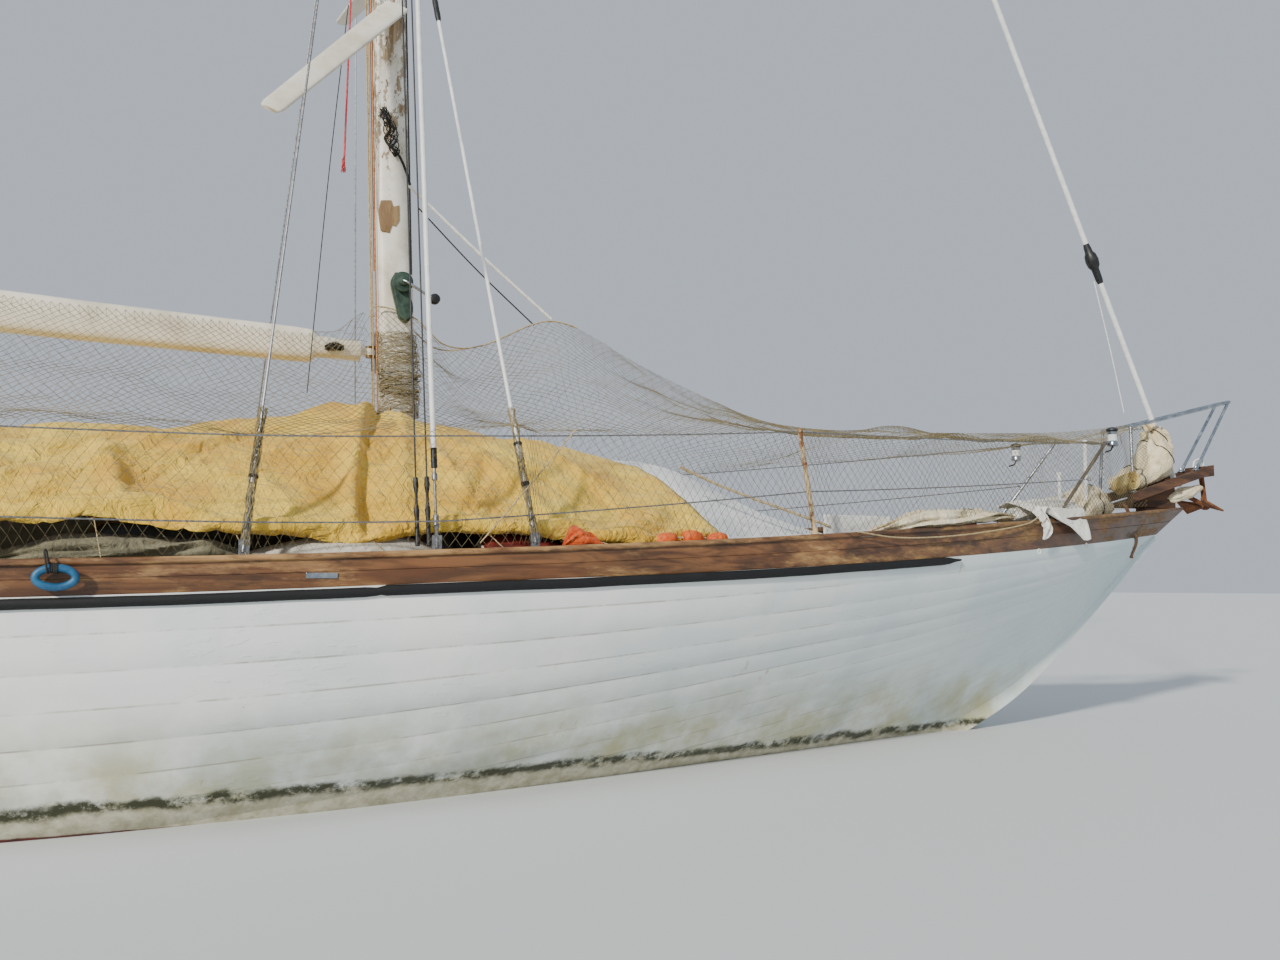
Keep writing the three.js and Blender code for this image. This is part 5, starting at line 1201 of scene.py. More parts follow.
def arch(x, y, half, foot, top, square, flat, count):
    """A section that rises from its foot on one side and comes down on the other."""
    a = np.linspace(0, math.pi, count)
    return spot(x, y + half * bent(np.cos(a), square), foot + (top - foot) * np.sin(a) ** flat)


def dinghy_half(x):
    return hermite(DINGHY_X, DINGHY_HALF, x)


dinghy = Shape().rings([
    arch(x, 0, dinghy_half(x), deck_top(x, dinghy_half(x)) - 0.010, hermite(DINGHY_X, DINGHY_KEEL, x),
         0.75, 0.8, 29) for x in np.linspace(1.26, 3.40, 60)])
make("dinghy_skin", dinghy, RED_HULL, node="stowed_dinghy", angle=50)
rim_x = np.linspace(1.28, 3.38, 50)
rim = spot(rim_x, -0.985 * dinghy_half(rim_x), deck_top(rim_x, dinghy_half(rim_x)) + RIM_HIGH)
across = np.linspace(-0.62, 0.62, 24)
rim_shape = Shape()
for line in (rim, rim * [1, -1, 1], spot(1.268, across, deck_top(1.27, across) + RIM_HIGH)):
    rim_shape.tube(line, RIM_THICK, 12)
make("dinghy_rim", rim_shape, WHITE_RIM, angle=60)

# Red dinghy fender with a white edge that shows under the tarpaulin

flap_us, flap_vs = np.linspace(1.19, 1.62, 30), np.linspace(0, 1, 16)
FLAP_TOP = [(1.19, 1.200), (1.21, 1.246), (1.25, 1.262), (1.36, 1.252), (1.50, 1.232), (1.62, 1.195)]


def flap_place(x, share):
    foot = deck_top(x, 1.45) + 0.004
    high = np.interp(x, *np.array(FLAP_TOP).T)
    turn = share * math.pi / 2
    return x, -1.34 - 0.16 * np.sin(turn) ** 0.8, foot + (high - foot) * np.cos(turn) ** 0.7


flap, flap_points = grid(flap_us, flap_vs, flap_place)
make("red_flap", flap, RED_HULL, thick=0.006, angle=60)
edge_line = [*flap_points[0, :0:-3], *flap_points[::2, 0]]
make("red_flap_edge", Shape().tube(smooth(edge_line, 0.02), 0.0075, 10), WHITE_RIM, angle=60)

# Furled sail on the bow platform, and a roll of canvas aft of it

def bundle(rows, seed, turns, along, depth, folds):
    """A soft roll through rows of x, y, z, half width, half height and forward lean."""
    rows = np.array(rows, float)
    at = np.linspace(0, len(rows) - 1, along)
    line = np.stack([hermite(np.arange(len(rows)), rows[:, k], at) for k in range(6)], 1)
    angle = circle(turns)
    rings = []
    for t, (x, y, z, wide, high, lean) in zip(at, line):
        twist = angle + 0.25 * math.sin(2.1 * t + seed)
        crease = np.sin(folds * twist + 2.3 * t + 1.6 * np.sin(3 * twist + t + seed))
        pinch = 0.5 + 0.5 * math.sin(5.2 * t + seed)
        size = 1 - depth / max(min(wide, high), 0.04) * (0.55 + 0.45 * crease) * (0.6 + 0.6 * pinch)
        rise = np.sin(angle) * high * size
        rings.append(spot(x + lean * rise, y + np.cos(angle) * wide * size, z + rise))
    rings = np.array(rings)
    way = unit(rings - rings.mean(axis=1, keepdims=True))
    return rings + way * (0.010 * noise(rings, 9, seed, 3) - 0.008)[..., None]


def soft(name, rings, material, node=()):
    return make(name, Shape().rings(rings), material, node=node, angle=70)


HEADSAIL = bundle([(6.42, 0, 1.770, 0.055, 0.045, -0.4), (6.52, 0.01, 1.800, 0.105, 0.085, -0.4),
                   (6.72, 0.01, 1.880, 0.140, 0.105, -0.5), (6.86, -0.01, 2.020, 0.150, 0.150, -0.9),
                   (6.90, 0.01, 2.130, 0.115, 0.120, -1.3), (6.92, 0.02, 2.210, 0.120, 0.090, -1.6),
                   (6.92, 0.0, 2.262, 0.055, 0.050, -2.0)], 3, 64, 90, 0.044, 5)
FOREDECK_ROLL = bundle([(5.35, -0.06, 1.420, 0.110, 0.070, 0), (5.55, -0.08, 1.480, 0.240, 0.110, 0),
                        (5.85, -0.05, 1.545, 0.225, 0.150, 0), (6.10, -0.02, 1.610, 0.185, 0.170, 0),
                        (6.27, 0, 1.630, 0.140, 0.140, 0), (6.38, 0, 1.610, 0.070, 0.080, 0)],
                       8, 64, 90, 0.036, 6)
furled = soft("furled_sail", HEADSAIL, CANVAS, "headsail_bundle")
roll = soft("foredeck_roll", FOREDECK_ROLL, CANVAS, "foredeck_bundle")

# Net over the boom, the mast foot and the foredeck, down to the lifelines and the rail

NET_X = [-3.2, -1.094, -0.114, 0.60, 0.80, 1.05, 1.233, 1.478, 1.954, 2.529, 2.953, 3.395, 3.936, 5.025,
         5.945, 6.64]
NET_Z = [2.615, 2.540, 2.505, 2.480, 2.62, 2.58, 2.445, 2.468, 2.664, 2.431, 2.262, 2.12, 2.08, 2.116,
         2.171, 2.263]
NET_SEAM = 0.80
RAIL_END = 6.5


def ridge_start(x):
    """How far the net's ridge lies from the middle, to pass round the mast."""
    return np.interp(x, [0.5, 0.75, 1.15, 1.4], [0.0, 0.115, 0.115, 0.0])


def lifeline_z(x, side):
    rows = LINE_ROWS + [BOW_ROW[side]]
    return np.interp(x, [line_at(row, UPPER, 1)[0] for row in rows] + [RAIL_END],
                     [row[UPPER] for row in rows] + [2.222])


def net_section(x, side):
    """Outline of the net at x from the ridge outward, as rows of y and z."""
    top = hermite(NET_X, NET_Z, x)
    edge_y = rail_y(min(x, RAIL_END)) + OUTBOARD + 0.006
    if x > 6.2:
        edge_y = np.interp(x, [6.2, 6.64], [edge_y, 0.16])
    line_z, foot_z = lifeline_z(x, side), rail_top(x) + 0.010
    over_lid = 0.085 * math.exp(-((x - 4.38) / 0.30) ** 2)
    rows = [(ridge_start(x), top)]
    if x < NET_SEAM:
        rows = [(0.0, top + 0.004), (0.060, top - 0.004), (0.088, top - 0.055)]
    y0, z0 = rows[-1]
    for t in (0.15, 0.3, 0.45, 0.6, 0.75, 0.9):
        sag = 0.10 * 4 * t * (1 - t) * min(1.0, (z0 - line_z) + 0.25)
        rows.append((y0 + (edge_y - y0) * t, z0 + (line_z - z0) * t - sag + over_lid * (1 - t)))
    rows.append((edge_y, line_z + 0.004))
    rows += [(edge_y + 0.022, line_z + (foot_z - line_z) * t) for t in (0.33, 0.66)]
    rows.append((edge_y - 0.004, foot_z))
    return np.array(rows)


def net_knots(start, end, side, step, threads):
    """Where the threads meet: rows of places for each thread, and their share of the way down."""
    xs = start + step * np.arange(int((end - start) / step) + 1)
    share = np.empty((threads, len(xs)))
    places = np.empty((threads, len(xs), 3))
    places[..., 0] = xs
    numbers = np.arange(threads)
    for i, x in enumerate(xs):
        rows = net_section(x, side)
        along = distances(rows)
        share[:, i] = (numbers + (i + numbers + 1) % 2) / threads
        places[:, i, 1] = side * np.interp(share[:, i], along / along[-1], rows[:, 0])
        places[:, i, 2] = np.interp(share[:, i], along / along[-1], rows[:, 1])
    return places, share


def net(start, end, side, step, threads, radius, seed):
    """Zigzag threads that meet their neighbours in knots, as three-sided strands."""
    first, share = net_knots(start, end, side, step, threads)
    p = first.copy()
    loose = np.clip(share * 6, 0, 1) * np.clip((1 - share) * 8, 0, 1)
    for axis, size in ((0, 0.030), (2, 0.026)):
        p[..., axis] += size * loose * noise(first + axis * 7.0, 2.1, seed + axis, 3)
    p[..., 0] += 0.010 * noise(first, 11, seed + 5)
    if side < 0:
        for gather, pull in ((0.13, 0.72), (1.38, 0.72), (3.0, 0.35)):
            away = p[..., 0] - gather
            p[..., 0] -= pull * np.exp(-(away / 0.30) ** 2) * away * np.clip(share * 2.6 - 1.1, 0, 1)
    way = unit(np.gradient(p, axis=1))
    beside = unit(np.cross(way, [0.0, 0.3, 1.0]))
    over = np.cross(way, beside)
    shape = Shape()
    for rings in np.stack([p + radius * (math.cos(a) * beside + math.sin(a) * over)
                           for a in (0.5, 2.6, 4.7)], axis=2):
        shape.rings(rings, ends=False)
    return shape


for side, word, step, fore_threads, aft_threads, radius, seed in (
        (-1, "starboard", 0.022, 58, 60, 0.0015, 5), (1, "port", 0.034, 32, 34, 0.0016, 15)):
    fore_net = net(NET_SEAM, 6.62, side, step, fore_threads, radius, seed)
    make(f"net_fore_{word}", fore_net, NET, angle=180)
    aft_net = net(-3.2, NET_SEAM, side, step, aft_threads, radius, seed + 1)
    swung = make(f"net_aft_{word}", aft_net, NET, body=None, angle=180)
    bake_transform(swung)

edge_rope = Shape()
ridge_x = np.linspace(0.82, 2.10, 60)
for side in (-1, 1):
    ridge = spot(ridge_x, side * (ridge_start(ridge_x) + 0.002), hermite(NET_X, NET_Z, ridge_x) + 0.003)
    edge_rope.tube(ridge, 0.0045, 8)
make("net_edge_rope", edge_rope, TAN_ROPE, angle=80)

# Inside the openings: well, cabin and fore hatch, boarded and open at the top

LINING = 0.012


def lined(shape, low, high):
    """Boards on the floor and the four sides of an opening."""
    (x0, y0, z0), (x1, y1, z1) = low, high
    shape.box((x0 - LINING, y0 - LINING, z0 - LINING), (x1 + LINING, y1 + LINING, z0))
    for x in (x0 - LINING, x1):
        shape.box((x, y0 - LINING, z0), (x + LINING, y1 + LINING, z1))
    for y in (y0 - LINING, y1):
        shape.box((x0, y, z0), (x1, y + LINING, z1))


WELL = ((-4.4, -0.4, 0.25), (-3.25, 0.4))
CABIN = ((-2.88, -0.64, -0.35), (0.56, 0.64))
PIT = ((3.95, -0.265, deck_top(3.95, 0.0) - 0.7), (4.48, 0.265))
lining = Shape()
for low, (x1, y1) in (WELL, CABIN, PIT):
    under_deck = min(deck_top(x, y1) for x in (low[0], x1)) - 0.037
    lined(lining, low, (x1, y1, under_deck))
make("inside_lining", lining, INSIDE, angle=30)
slats = Shape()
for x in np.arange(-4.36, -3.28, 0.052):
    slats.box((x, -0.37, 0.268), (x + 0.026, 0.37, 0.284))
for y in (-0.34, -0.12, 0.12, 0.34):
    slats.box((-4.37, y - 0.015, 0.2505), (-3.28, y + 0.015, 0.2675))
make("well_grating", slats, VARNISH, bevel=0.0015)

# Opening for the propeller, cut in the deadwood

NOTCH_FORE, NOTCH_LOW, NOTCH_HIGH = -3.7, -1.41, -0.83
cutting = bmesh.new()
cutting.from_mesh(hull_skin.data)


def faces_within(x0, x1, z0, z1):
    middles = [(face, face.calc_center_median()) for face in cutting.faces]
    return [face for face, middle in middles if x0 < middle.x < x1 and z0 < middle.z < z1]


for point, normal in (((NOTCH_FORE, 0, 0), (1, 0, 0)), ((0, 0, NOTCH_LOW), UP), ((0, 0, NOTCH_HIGH), UP)):
    near = faces_within(-4.6, -3.4, -1.7, -0.5)
    edges = {edge for face in near for edge in face.edges}
    corners = {corner for face in near for corner in face.verts}
    bmesh.ops.bisect_plane(cutting, geom=near + list(edges) + list(corners), plane_co=point,
                           plane_no=normal)
notch = faces_within(-4.6, NOTCH_FORE, NOTCH_LOW, NOTCH_HIGH)
bmesh.ops.delete(cutting, geom=notch, context="FACES")
cutting.to_mesh(hull_skin.data)
cutting.free()
notch_sides = Shape()
notch_sides.box((-4.20, -0.050, NOTCH_HIGH), (NOTCH_FORE + 0.01, 0.050, NOTCH_HIGH + 0.01))
notch_sides.box((-4.00, -0.050, NOTCH_LOW - 0.01), (NOTCH_FORE + 0.01, 0.050, NOTCH_LOW))
notch_sides.box((NOTCH_FORE, -0.051, NOTCH_LOW), (NOTCH_FORE + 0.01, 0.051, NOTCH_HIGH))
notch_sides.lathe([(0.019, 0.0), (0.044, 0.0), (0.040, 0.05), (0.032, 0.06), (0.032, 0.10)],
                  (NOTCH_FORE + 0.02, 0, -1.12), (-1, 0, 0), 24)
make("propeller_notch", notch_sides, ANTIFOUL, angle=40)

# Windows of the cabin trunk: dark glass in a narrow metal frame

WINDOW_XS, WINDOW_Z = (-2.25, -1.25, -0.30), 1.235
WINDOW_END, WINDOW_ROUND = 0.145, 0.065


def on_trunk(x, side, outline, proud):
    """A flat outline laid on the side of the cabin trunk."""
    across = x + outline[:, 0]
    return spot(across, side * (trunk_side(across) + proud), WINDOW_Z + outline[:, 1])


frames, panes = Shape(), Shape()
outward = np.column_stack([np.cos(circle(48)), np.sin(circle(48))])
middle = outward * WINDOW_ROUND
middle[:, 0] += np.sign(np.round(outward[:, 0], 9)) * WINDOW_END
for x in WINDOW_XS:
    for side in (-1, 1):
        loop = [on_trunk(x, side, middle + grow * outward, proud)
                for grow, proud in ((-0.004, 0.001), (0.014, 0.001), (0.012, 0.007), (-0.004, 0.007))]
        frames.rings(np.stack(loop, axis=1), along=True)
        pane = on_trunk(x, side, middle, -0.012)
        panes.add(pane, [tuple(range(len(pane)))])
make("window_frames", frames, BRONZE, angle=40)
make("window_panes", panes, GLASS)

# Mizzen boom, round and tapered, on its pin

MIZZEN_PIN = np.array([-6.026, 0, 2.08])
out = np.linspace(0.044, 2.2, 40)
radius = np.interp(out, [0.044, 2.2], [0.042, 0.032])
round_boom = spar(out, radius, radius, 2.0, 24)
up, port, aft = np.moveaxis(round_boom, -1, 0)
rings = spot(-aft, port, up + (aft - 0.044) * 0.0278) + MIZZEN_PIN
mizzen_spar = Shape().rings(rings)
mizzen_spar.box((-0.060, -0.012, -0.014), (0, 0.012, 0.014), lambda p: p + MIZZEN_PIN)
mizzen_spar.lathe([(0.016, -0.0148), (0.016, 0.0148)], MIZZEN_PIN, UP, 20)
make("mizzen_boom_pole", mizzen_spar, SPAR_PAINT, body="mizzen_boom", node="mizzen_boom", angle=50)

# Ropes: three laid strands where they show, plain lines where they are thin

def laid(shape, points, radius, pitch=None):
    """A rope of three strands laid round each other."""
    pitch = pitch or radius * 7
    path = smooth(points, pitch / 6)
    way = unit(np.gradient(path, axis=0))
    side = unit(np.cross(way, [0.31, 0.83, 0.46]))
    turn = circle(12)[None, :, None]
    lay = 2 * math.pi * distances(path)[:, None, None] / pitch / 3
    size = radius * (0.80 + 0.22 * np.abs(np.cos(1.5 * (turn - lay))))
    return shape.rings(path[:, None] + size * (np.cos(turn) * side[:, None]
                                               + np.sin(turn) * np.cross(way, side)[:, None]))


def spread_along(values, t):
    return np.interp(t, np.linspace(0, 1, len(values)), values)


def tangle(shape, path, inner, spread, strands, thin, seed, centre=0.0, reach=None):
    """Loose threads that wander along a line; reach keeps them to one side of it, in radians."""
    path = smooth(path, 0.014)
    t = np.linspace(0, 1, len(path))
    way = unit(np.gradient(path, axis=0))
    ahead = unit(np.array([1.0, 0, 0]) - way * way[:, :1])
    beside = np.cross(way, ahead)
    for k in range(strands):
        wander = noise(spot(t * 5, k * 1.73), 1, seed, 2)
        rate = (1 if k % 2 else -1) * (1.2 + 0.5 * math.sin(k)) * 2 * math.pi
        turns = k * 2.399963 + rate * t + 1.1 * wander
        angle = (turns if reach is None else centre + reach * np.sin(turns))[:, None]
        width = 0.5 + 0.5 * noise(spot(t * 6, k * 2.1, 4), 1, seed + 7, 2)
        far = (spread_along(inner, t) + spread_along(spread, t) * width)[:, None]
        shape.tube(path + np.cos(angle) * far * ahead + np.sin(angle) * far * beside, thin, 4, ends=False)
    return shape


def skin_y(x, z):
    """How far to starboard the hull or bulwark lies at a place seen from the side."""
    return np.where(z < sheer(x), half_breadth(x, z), beam(x) + flare(x) * 0.6)


# Running rigging down the mast: halyards on its after face and its starboard side

HALYARDS = {"tan_halyards": (TAN_ROPE, [(-0.128, -0.034, 0.62, 15.8), (-0.128, 0.040, 0.62, 15.8)]),
            "orange_halyard": (ORANGE_ROPE, [(-0.112, -0.068, 0.70, 15.7)]),
            "dark_halyards": (DARK_NET, [(0.098, -0.070, 1.72, 15.6)]),
            "white_halyard": (WHITE_ROPE, [(0.118, 0.03, 0.75, 15.7), (-0.02, 0.108, 0.9, 15.6)])}
for name, (material, runs) in HALYARDS.items():
    shape = Shape()
    for fore, side, low, high in runs:
        ups = np.linspace(low, high, 26)
        share = np.minimum(1, mast_scale(ups) + 0.06)
        shape.tube(from_mast(spot(fore * share, side * share, ups)), 0.0046, 8)
    make(name, shape, material, angle=70)
cleats = Shape()
for fore, side, up in ((-0.05, -0.100, 0.84), (-0.02, 0.100, 0.84), (0.106, 0.03, 0.70),
                       (-0.105, -0.045, 0.58)):
    away = np.trunc(np.array([fore, side, 0]) / 0.09)
    foot = mast_point(fore, side, up)
    cleats.tube([foot, foot + away * 0.020], 0.010, 10)
    cleats.tube([foot + away * 0.024 + MAST_WAY * s for s in (-0.075, -0.05, 0, 0.05, 0.075)],
                [0.004, 0.008, 0.011, 0.008, 0.004], 10)
make("mast_cleats", cleats, BRONZE, angle=60)

# Reel winch on the mast's starboard side: drum, casting, crank with its grip, and rusty wire

HUB = np.array([0.976, -0.0945, 2.772])
TO_STARBOARD = (0, -1, 0)
DRUM = [(0.050, 0.0), (0.050, 0.010), (0.031, 0.014), (0.027, 0.045), (0.031, 0.080), (0.058, 0.086),
        (0.061, 0.092), (0.058, 0.099), (0.030, 0.104), (0.026, 0.118), (0.012, 0.122)]
CASTING = np.array([(-0.040, 0.060), (0.030, 0.066), (0.052, 0.030), (0.046, -0.060), (0.066, -0.130),
                    (0.058, -0.195), (0.030, -0.222), (-0.006, -0.205), (-0.026, -0.140),
                    (-0.046, -0.060), (-0.060, 0.010)])
winch = Shape().lathe(DRUM, HUB, TO_STARBOARD, 32)
winch.lathe([(0.060, 0.010), (0.062, 0.014), (0.060, 0.018), (0.030, 0.020)], HUB, TO_STARBOARD, 32)
casting = []
for depth, grow in ((0.0, 0.0), (0.012, 0.004), (0.050, 0.004), (0.062, -0.008)):
    away = unit(spot(CASTING[:, 0] - 0.01, 0, CASTING[:, 1] + 0.07))
    outline = HUB + spot(CASTING[:, 0], -depth, CASTING[:, 1]) + grow * away
    casting.append(smooth([*outline, outline[0]], 0.012)[:-1])
count = min(len(loop) for loop in casting)
winch.rings([loop[np.linspace(0, len(loop) - 1, count).astype(int)] for loop in casting])
make("mast_reel_winch", winch, GREEN, node="mast_winch", angle=35, bevel=0.0015)
handle = Shape().tube(smooth([HUB + (0.0, -0.122, 0), HUB + (0.02, -0.136, -0.012),
                              HUB + (0.172, -0.138, -0.100)], 0.02), 0.0085, 10)
make("reel_winch_handle", handle, STEEL, angle=60)
grip = Shape().lathe([(0.012, -0.030), (0.026, -0.026), (0.031, -0.010), (0.031, 0.014), (0.024, 0.028),
                      (0.008, 0.032)], HUB + (0.176, -0.150, -0.102), TO_STARBOARD, 20)
make("reel_winch_grip", grip, BLACK_TAPE, angle=45)
turns = Shape()
for k in range(7):
    turns.ring(HUB + (0, -0.030 - 0.0075 * k, 0), 0.0335 + 0.002 * math.sin(k * 2.1), 0.0042, (0, 1, 0),
               26, 6)
make("reel_winch_wire", turns, RUST, angle=60)

# Bare patch on the mast, a black line on it, and net wound round its foot and on the boom

PATCH_FORM = [(-0.050, 0.100), (0.010, 0.108), (0.022, 0.070), (0.058, 0.082), (0.062, -0.010),
              (0.040, -0.052), (0.018, -0.046), (0.004, -0.096), (-0.048, -0.088), (-0.058, -0.030),
              (-0.066, 0.030)]
patch_middle = mast_point(-0.030, -0.0945, 2.05)
patch = Shape().rings([[patch_middle + (x * share, -lift, z * share) for x, z in PATCH_FORM]
                       for share, lift in ((1.0, -0.001), (0.98, 0.0035), (0.9, 0.0045), (0.5, 0.005))])
make("mast_patch", patch, BARE_WOOD, angle=30)

coil = Shape()
laid(coil, [(0.847, -0.12, 3.83), (0.89, -0.125, 3.71), (0.86, -0.13, 3.64), (0.94, -0.125, 3.56),
            (0.984, -0.12, 3.476), (1.016, -0.11, 3.388)], 0.008)
tangle(coil, [(0.85, -0.115, 3.84), (0.90, -0.125, 3.68), (0.93, -0.12, 3.55)], (0.006, 0.010, 0.006),
       (0.020, 0.045, 0.018), 9, 0.0032, 61)
make("black_line_on_mast", coil, DARK_NET, angle=80)

for name, material, levels, strands, thin, seed in (
        ("net_round_mast", NET, (0.86, 1.0, 1.15, 1.36), 46, 0.0015, 17),
        ("dark_turns_on_mast", DARK_NET, (0.98, 1.06, 1.14), 8, 0.0026, 33)):
    wrap = Shape()
    tangle(wrap, [mast_point(0, 0, up) for up in levels], (0.120, 0.124, 0.120), (0.020, 0.040, 0.016),
           strands, thin, seed, -0.5, 2.0)
    make(name, wrap, material, angle=180)
wad = Shape()
tangle(wad, [(0.56, -0.070, 2.372), (0.61, -0.085, 2.380), (0.66, -0.078, 2.376)], (0.004, 0.012, 0.004),
       (0.014, 0.022, 0.014), 22, 0.0026, 29)
make("net_wad_on_boom", wad, DARK_NET, body="main_boom", angle=180)

# Lines between mast and rigging, one piece for each colour

RAIL_LINE = [rail_point(x, -1, -drop, 0.062) for x, drop in (
    (3.30, 0.0), (3.60, 0.045), (4.00, 0.060), (4.45, 0.050), (4.85, 0.020), (4.95, -0.015))]
LAID_FROM = 0.0055
LINES = {
    "white_lines": (WHITE_ROPE, [
        (0.010, [(1.009, -0.10, 3.389), (1.46, -0.05, 3.03), (1.928, 0, 2.680)]),
        (0.0035, [(6.33, -0.01, 3.38), (6.45, -0.02, 2.86), (6.564, -0.02, 2.353)])]),
    "dark_lines": (DARK_NET, [
        (0.0045, [(1.072, -0.09, 3.26), (1.44, -0.05, 2.93), (1.818, 0, 2.630)]),
        (0.0028, [(0.614, -0.30, 4.336), (0.537, -0.30, 3.361), (0.453, -0.30, 2.06)])]),
    "red_line": (RED_ROPE, [(0.006, [(0.640, -0.25, 5.6), (0.632, -0.25, 4.53), (0.62, -0.25, 3.453)])]),
    "thin_tan_lines": (TAN_ROPE, [
        (0.0035, [(1.136, -1.62, 1.196), (1.35, -1.625, 1.45), (1.58, -1.63, 1.733)]),
        (0.0045, RAIL_LINE)]),
}
for name, (material, runs) in LINES.items():
    shape = Shape()
    for thick, points in runs:
        if thick > LAID_FROM:
            laid(shape, points, thick, thick * 9)
        else:
            shape.tube(smooth(points, 0.05), thick, 7)
    make(name, shape, material, angle=80)
tassel = Shape()
tangle(tassel, [(0.62, -0.25, 3.46), (0.616, -0.25, 3.42), (0.617, -0.25, 3.36)], (0.002, 0.004, 0.004),
       (0.004, 0.008, 0.014), 14, 0.0018, 83)
make("red_line_end", tassel, RED_ROPE, angle=180)

# The starboard cap shroud runs in a white tube; the fore lower one is white up to a black joint

def along_stay(foot, head, start, end, count=40):
    """Places on a stay, from one distance up it to another."""
    way = unit(head - foot)
    return np.linspace(foot + way * start, foot + way * end, count)


CAP, FORE_LOWER, AFT_LOWER = (shroud_ends(name) for name in ("cap_shroud", "fore_lower_shroud",
                                                             "aft_lower_shroud"))
tubes = Shape().tube(along_stay(*CAP, 0.36, 6.0, 60), 0.0125, 14)
tubes.tube(along_stay(*FORE_LOWER, 0.40, 3.05), 0.0098, 12)
make("shroud_tubes", tubes, WHITE_TUBE, angle=60)
tape = Shape().tube(along_stay(*FORE_LOWER, 3.02, 3.20, 8),
                    [0.012, 0.016, 0.017, 0.016, 0.016, 0.017, 0.015, 0.011], 12)
tape.tube(along_stay(*CAP, 0.33, 0.42, 5), 0.0145, 14)
ball = STAY_FOOT + stay_way * ((3.52 - STAY_FOOT[2]) / stay_way[2])
tape.lathe([(0.021, -0.16), (0.027, -0.13), (0.029, -0.04), (0.044, -0.015), (0.050, 0.03), (0.044, 0.075),
            (0.030, 0.10), (0.027, 0.14), (0.021, 0.17)], ball, stay_way, 20)
make("black_tape_joints", tape, BLACK_TAPE, angle=70)
screws = Shape()
for x, up in ((0.855, 9.4), (0.905, 13.4)):
    foot = rail_point(x, -1, 0.02)
    head = mast_point(0.02, -mast_half(up) - 0.010, up)
    screws.tube(along_stay(foot, head, 0.0, 0.13, 3), 0.010, 10)
    screws.tube(along_stay(foot, head, 0.12, 0.31, 6), [0.010, 0.013, 0.007, 0.007, 0.013, 0.010], 10)
    screws.tube(along_stay(foot, head, 0.30, np.linalg.norm(head - foot), 30), 0.0038, 8)
make("inner_rigging_screws", screws, BLACK_TAPE, angle=60)

# The net is gathered and tied round the lower shrouds

gathers = Shape()
for stay_ends, low, high, seed in ((AFT_LOWER, 0.0, 0.62, 3), (FORE_LOWER, 0.02, 0.66, 9)):
    tangle(gathers, along_stay(*stay_ends, low, high, 12), (0.008, 0.008, 0.010, 0.008),
           (0.014, 0.010, 0.013, 0.010, 0.016), 24, 0.0015, seed)
make("net_gathers", gathers, NET, angle=180)
bindings = Shape()
for stay_ends, start, count in ((AFT_LOWER, 0.30, 2), (FORE_LOWER, 0.26, 3), (FORE_LOWER, 0.47, 2)):
    for p in along_stay(*stay_ends, start, start + 0.007 * (count - 1), count):
        bindings.ring(p, 0.019, 0.0026, stay_ends[1] - p, 18, 6)
make("net_bindings", bindings, DARK_NET, angle=80)

# Bow: lamps, short poles, lashings, rolled cloth, straps and a bail

lamps, lamp_caps, lamp_glass = Shape(), Shape(), Shape()
for seat in (np.array([5.985, -0.47, 2.060]), np.array([5.822, 0.35, 2.038])):
    lamps.lathe([(0.030, -0.055), (0.036, -0.050), (0.036, -0.020), (0.033, -0.016)], seat, UP, 22)
    lamps.lathe([(0.033, 0.030), (0.036, 0.034), (0.036, 0.050), (0.030, 0.055)], seat, UP, 22)
    lamp_glass.lathe([(0.031, -0.018), (0.0315, 0.0), (0.031, 0.032)], seat, UP, 22)
    lamp_caps.lathe([(0.032, 0.053), (0.041, 0.058), (0.040, 0.070), (0.020, 0.082), (0.006, 0.084)],
                    seat, UP, 22)
    lamp_caps.tube([seat + (0.0, 0, -0.055), seat + (-0.02, 0, -0.085), seat + (-0.07, 0, -0.10)], 0.006, 8)
make("bow_lamps", lamps, STEEL, angle=45)
make("bow_lamp_caps", lamp_caps, BLACK_TAPE, angle=45)
make("bow_lamp_glass", lamp_glass, plain("frosted_glass", "dfe6e4", "c8d2d0", 8, 0.15), angle=45)
poles = Shape()
for (x0, z0), (x1, z1), y in (((5.978, 1.62), (5.991, 2.064), -0.20), ((5.700, 1.52), (5.700, 1.81), -0.24)):
    poles.tube([(x0, y, z0), ((x0 + x1) / 2, y, (z0 + z1) / 2), (x1, y, z1)], 0.014, 12)
    poles.lathe([(0.014, -0.002), (0.019, 0.0), (0.019, 0.016), (0.006, 0.022)], (x1, y, z1), UP, 12)
make("short_poles", poles, WHITE_TUBE, angle=50)


def lash(shape, rings, rows):
    """Cord drawn round a roll at some of its rings."""
    for row in rows:
        loop = rings[row]
        centre = loop.mean(axis=0)
        loop = centre + (loop - centre) * (1 + 0.004 / np.linalg.norm(loop - centre, axis=1).mean())
        smoothed = (np.roll(loop, 1, 0) + loop + np.roll(loop, -1, 0)) / 3
        way = unit(np.roll(smoothed, -1, 0) - np.roll(smoothed, 1, 0))
        away = unit(smoothed - centre)
        flat = np.cross(way, away)
        turn = circle(6)[None, :, None]
        round_cord = np.cos(turn) * away[:, None] + np.sin(turn) * flat[:, None]
        shape.rings(smoothed[:, None] + 0.0045 * round_cord, along=True)


lashings = Shape()
lash(lashings, HEADSAIL, (26, 47, 64))
lash(lashings, FOREDECK_ROLL, (30, 62))
make("sail_lashings", lashings, DARK_NET, angle=80)

TIP_ROLL = [(6.93, -0.02, 1.690, 0.045, 0.040, 0), (7.02, -0.03, 1.708, 0.070, 0.064, 0),
            (7.18, -0.03, 1.748, 0.068, 0.062, 0), (7.32, -0.02, 1.790, 0.040, 0.036, 0)]
tip_roll = soft("roll_under_tip", bundle(TIP_ROLL, 21, 40, 50, 0.010, 5), CANVAS)

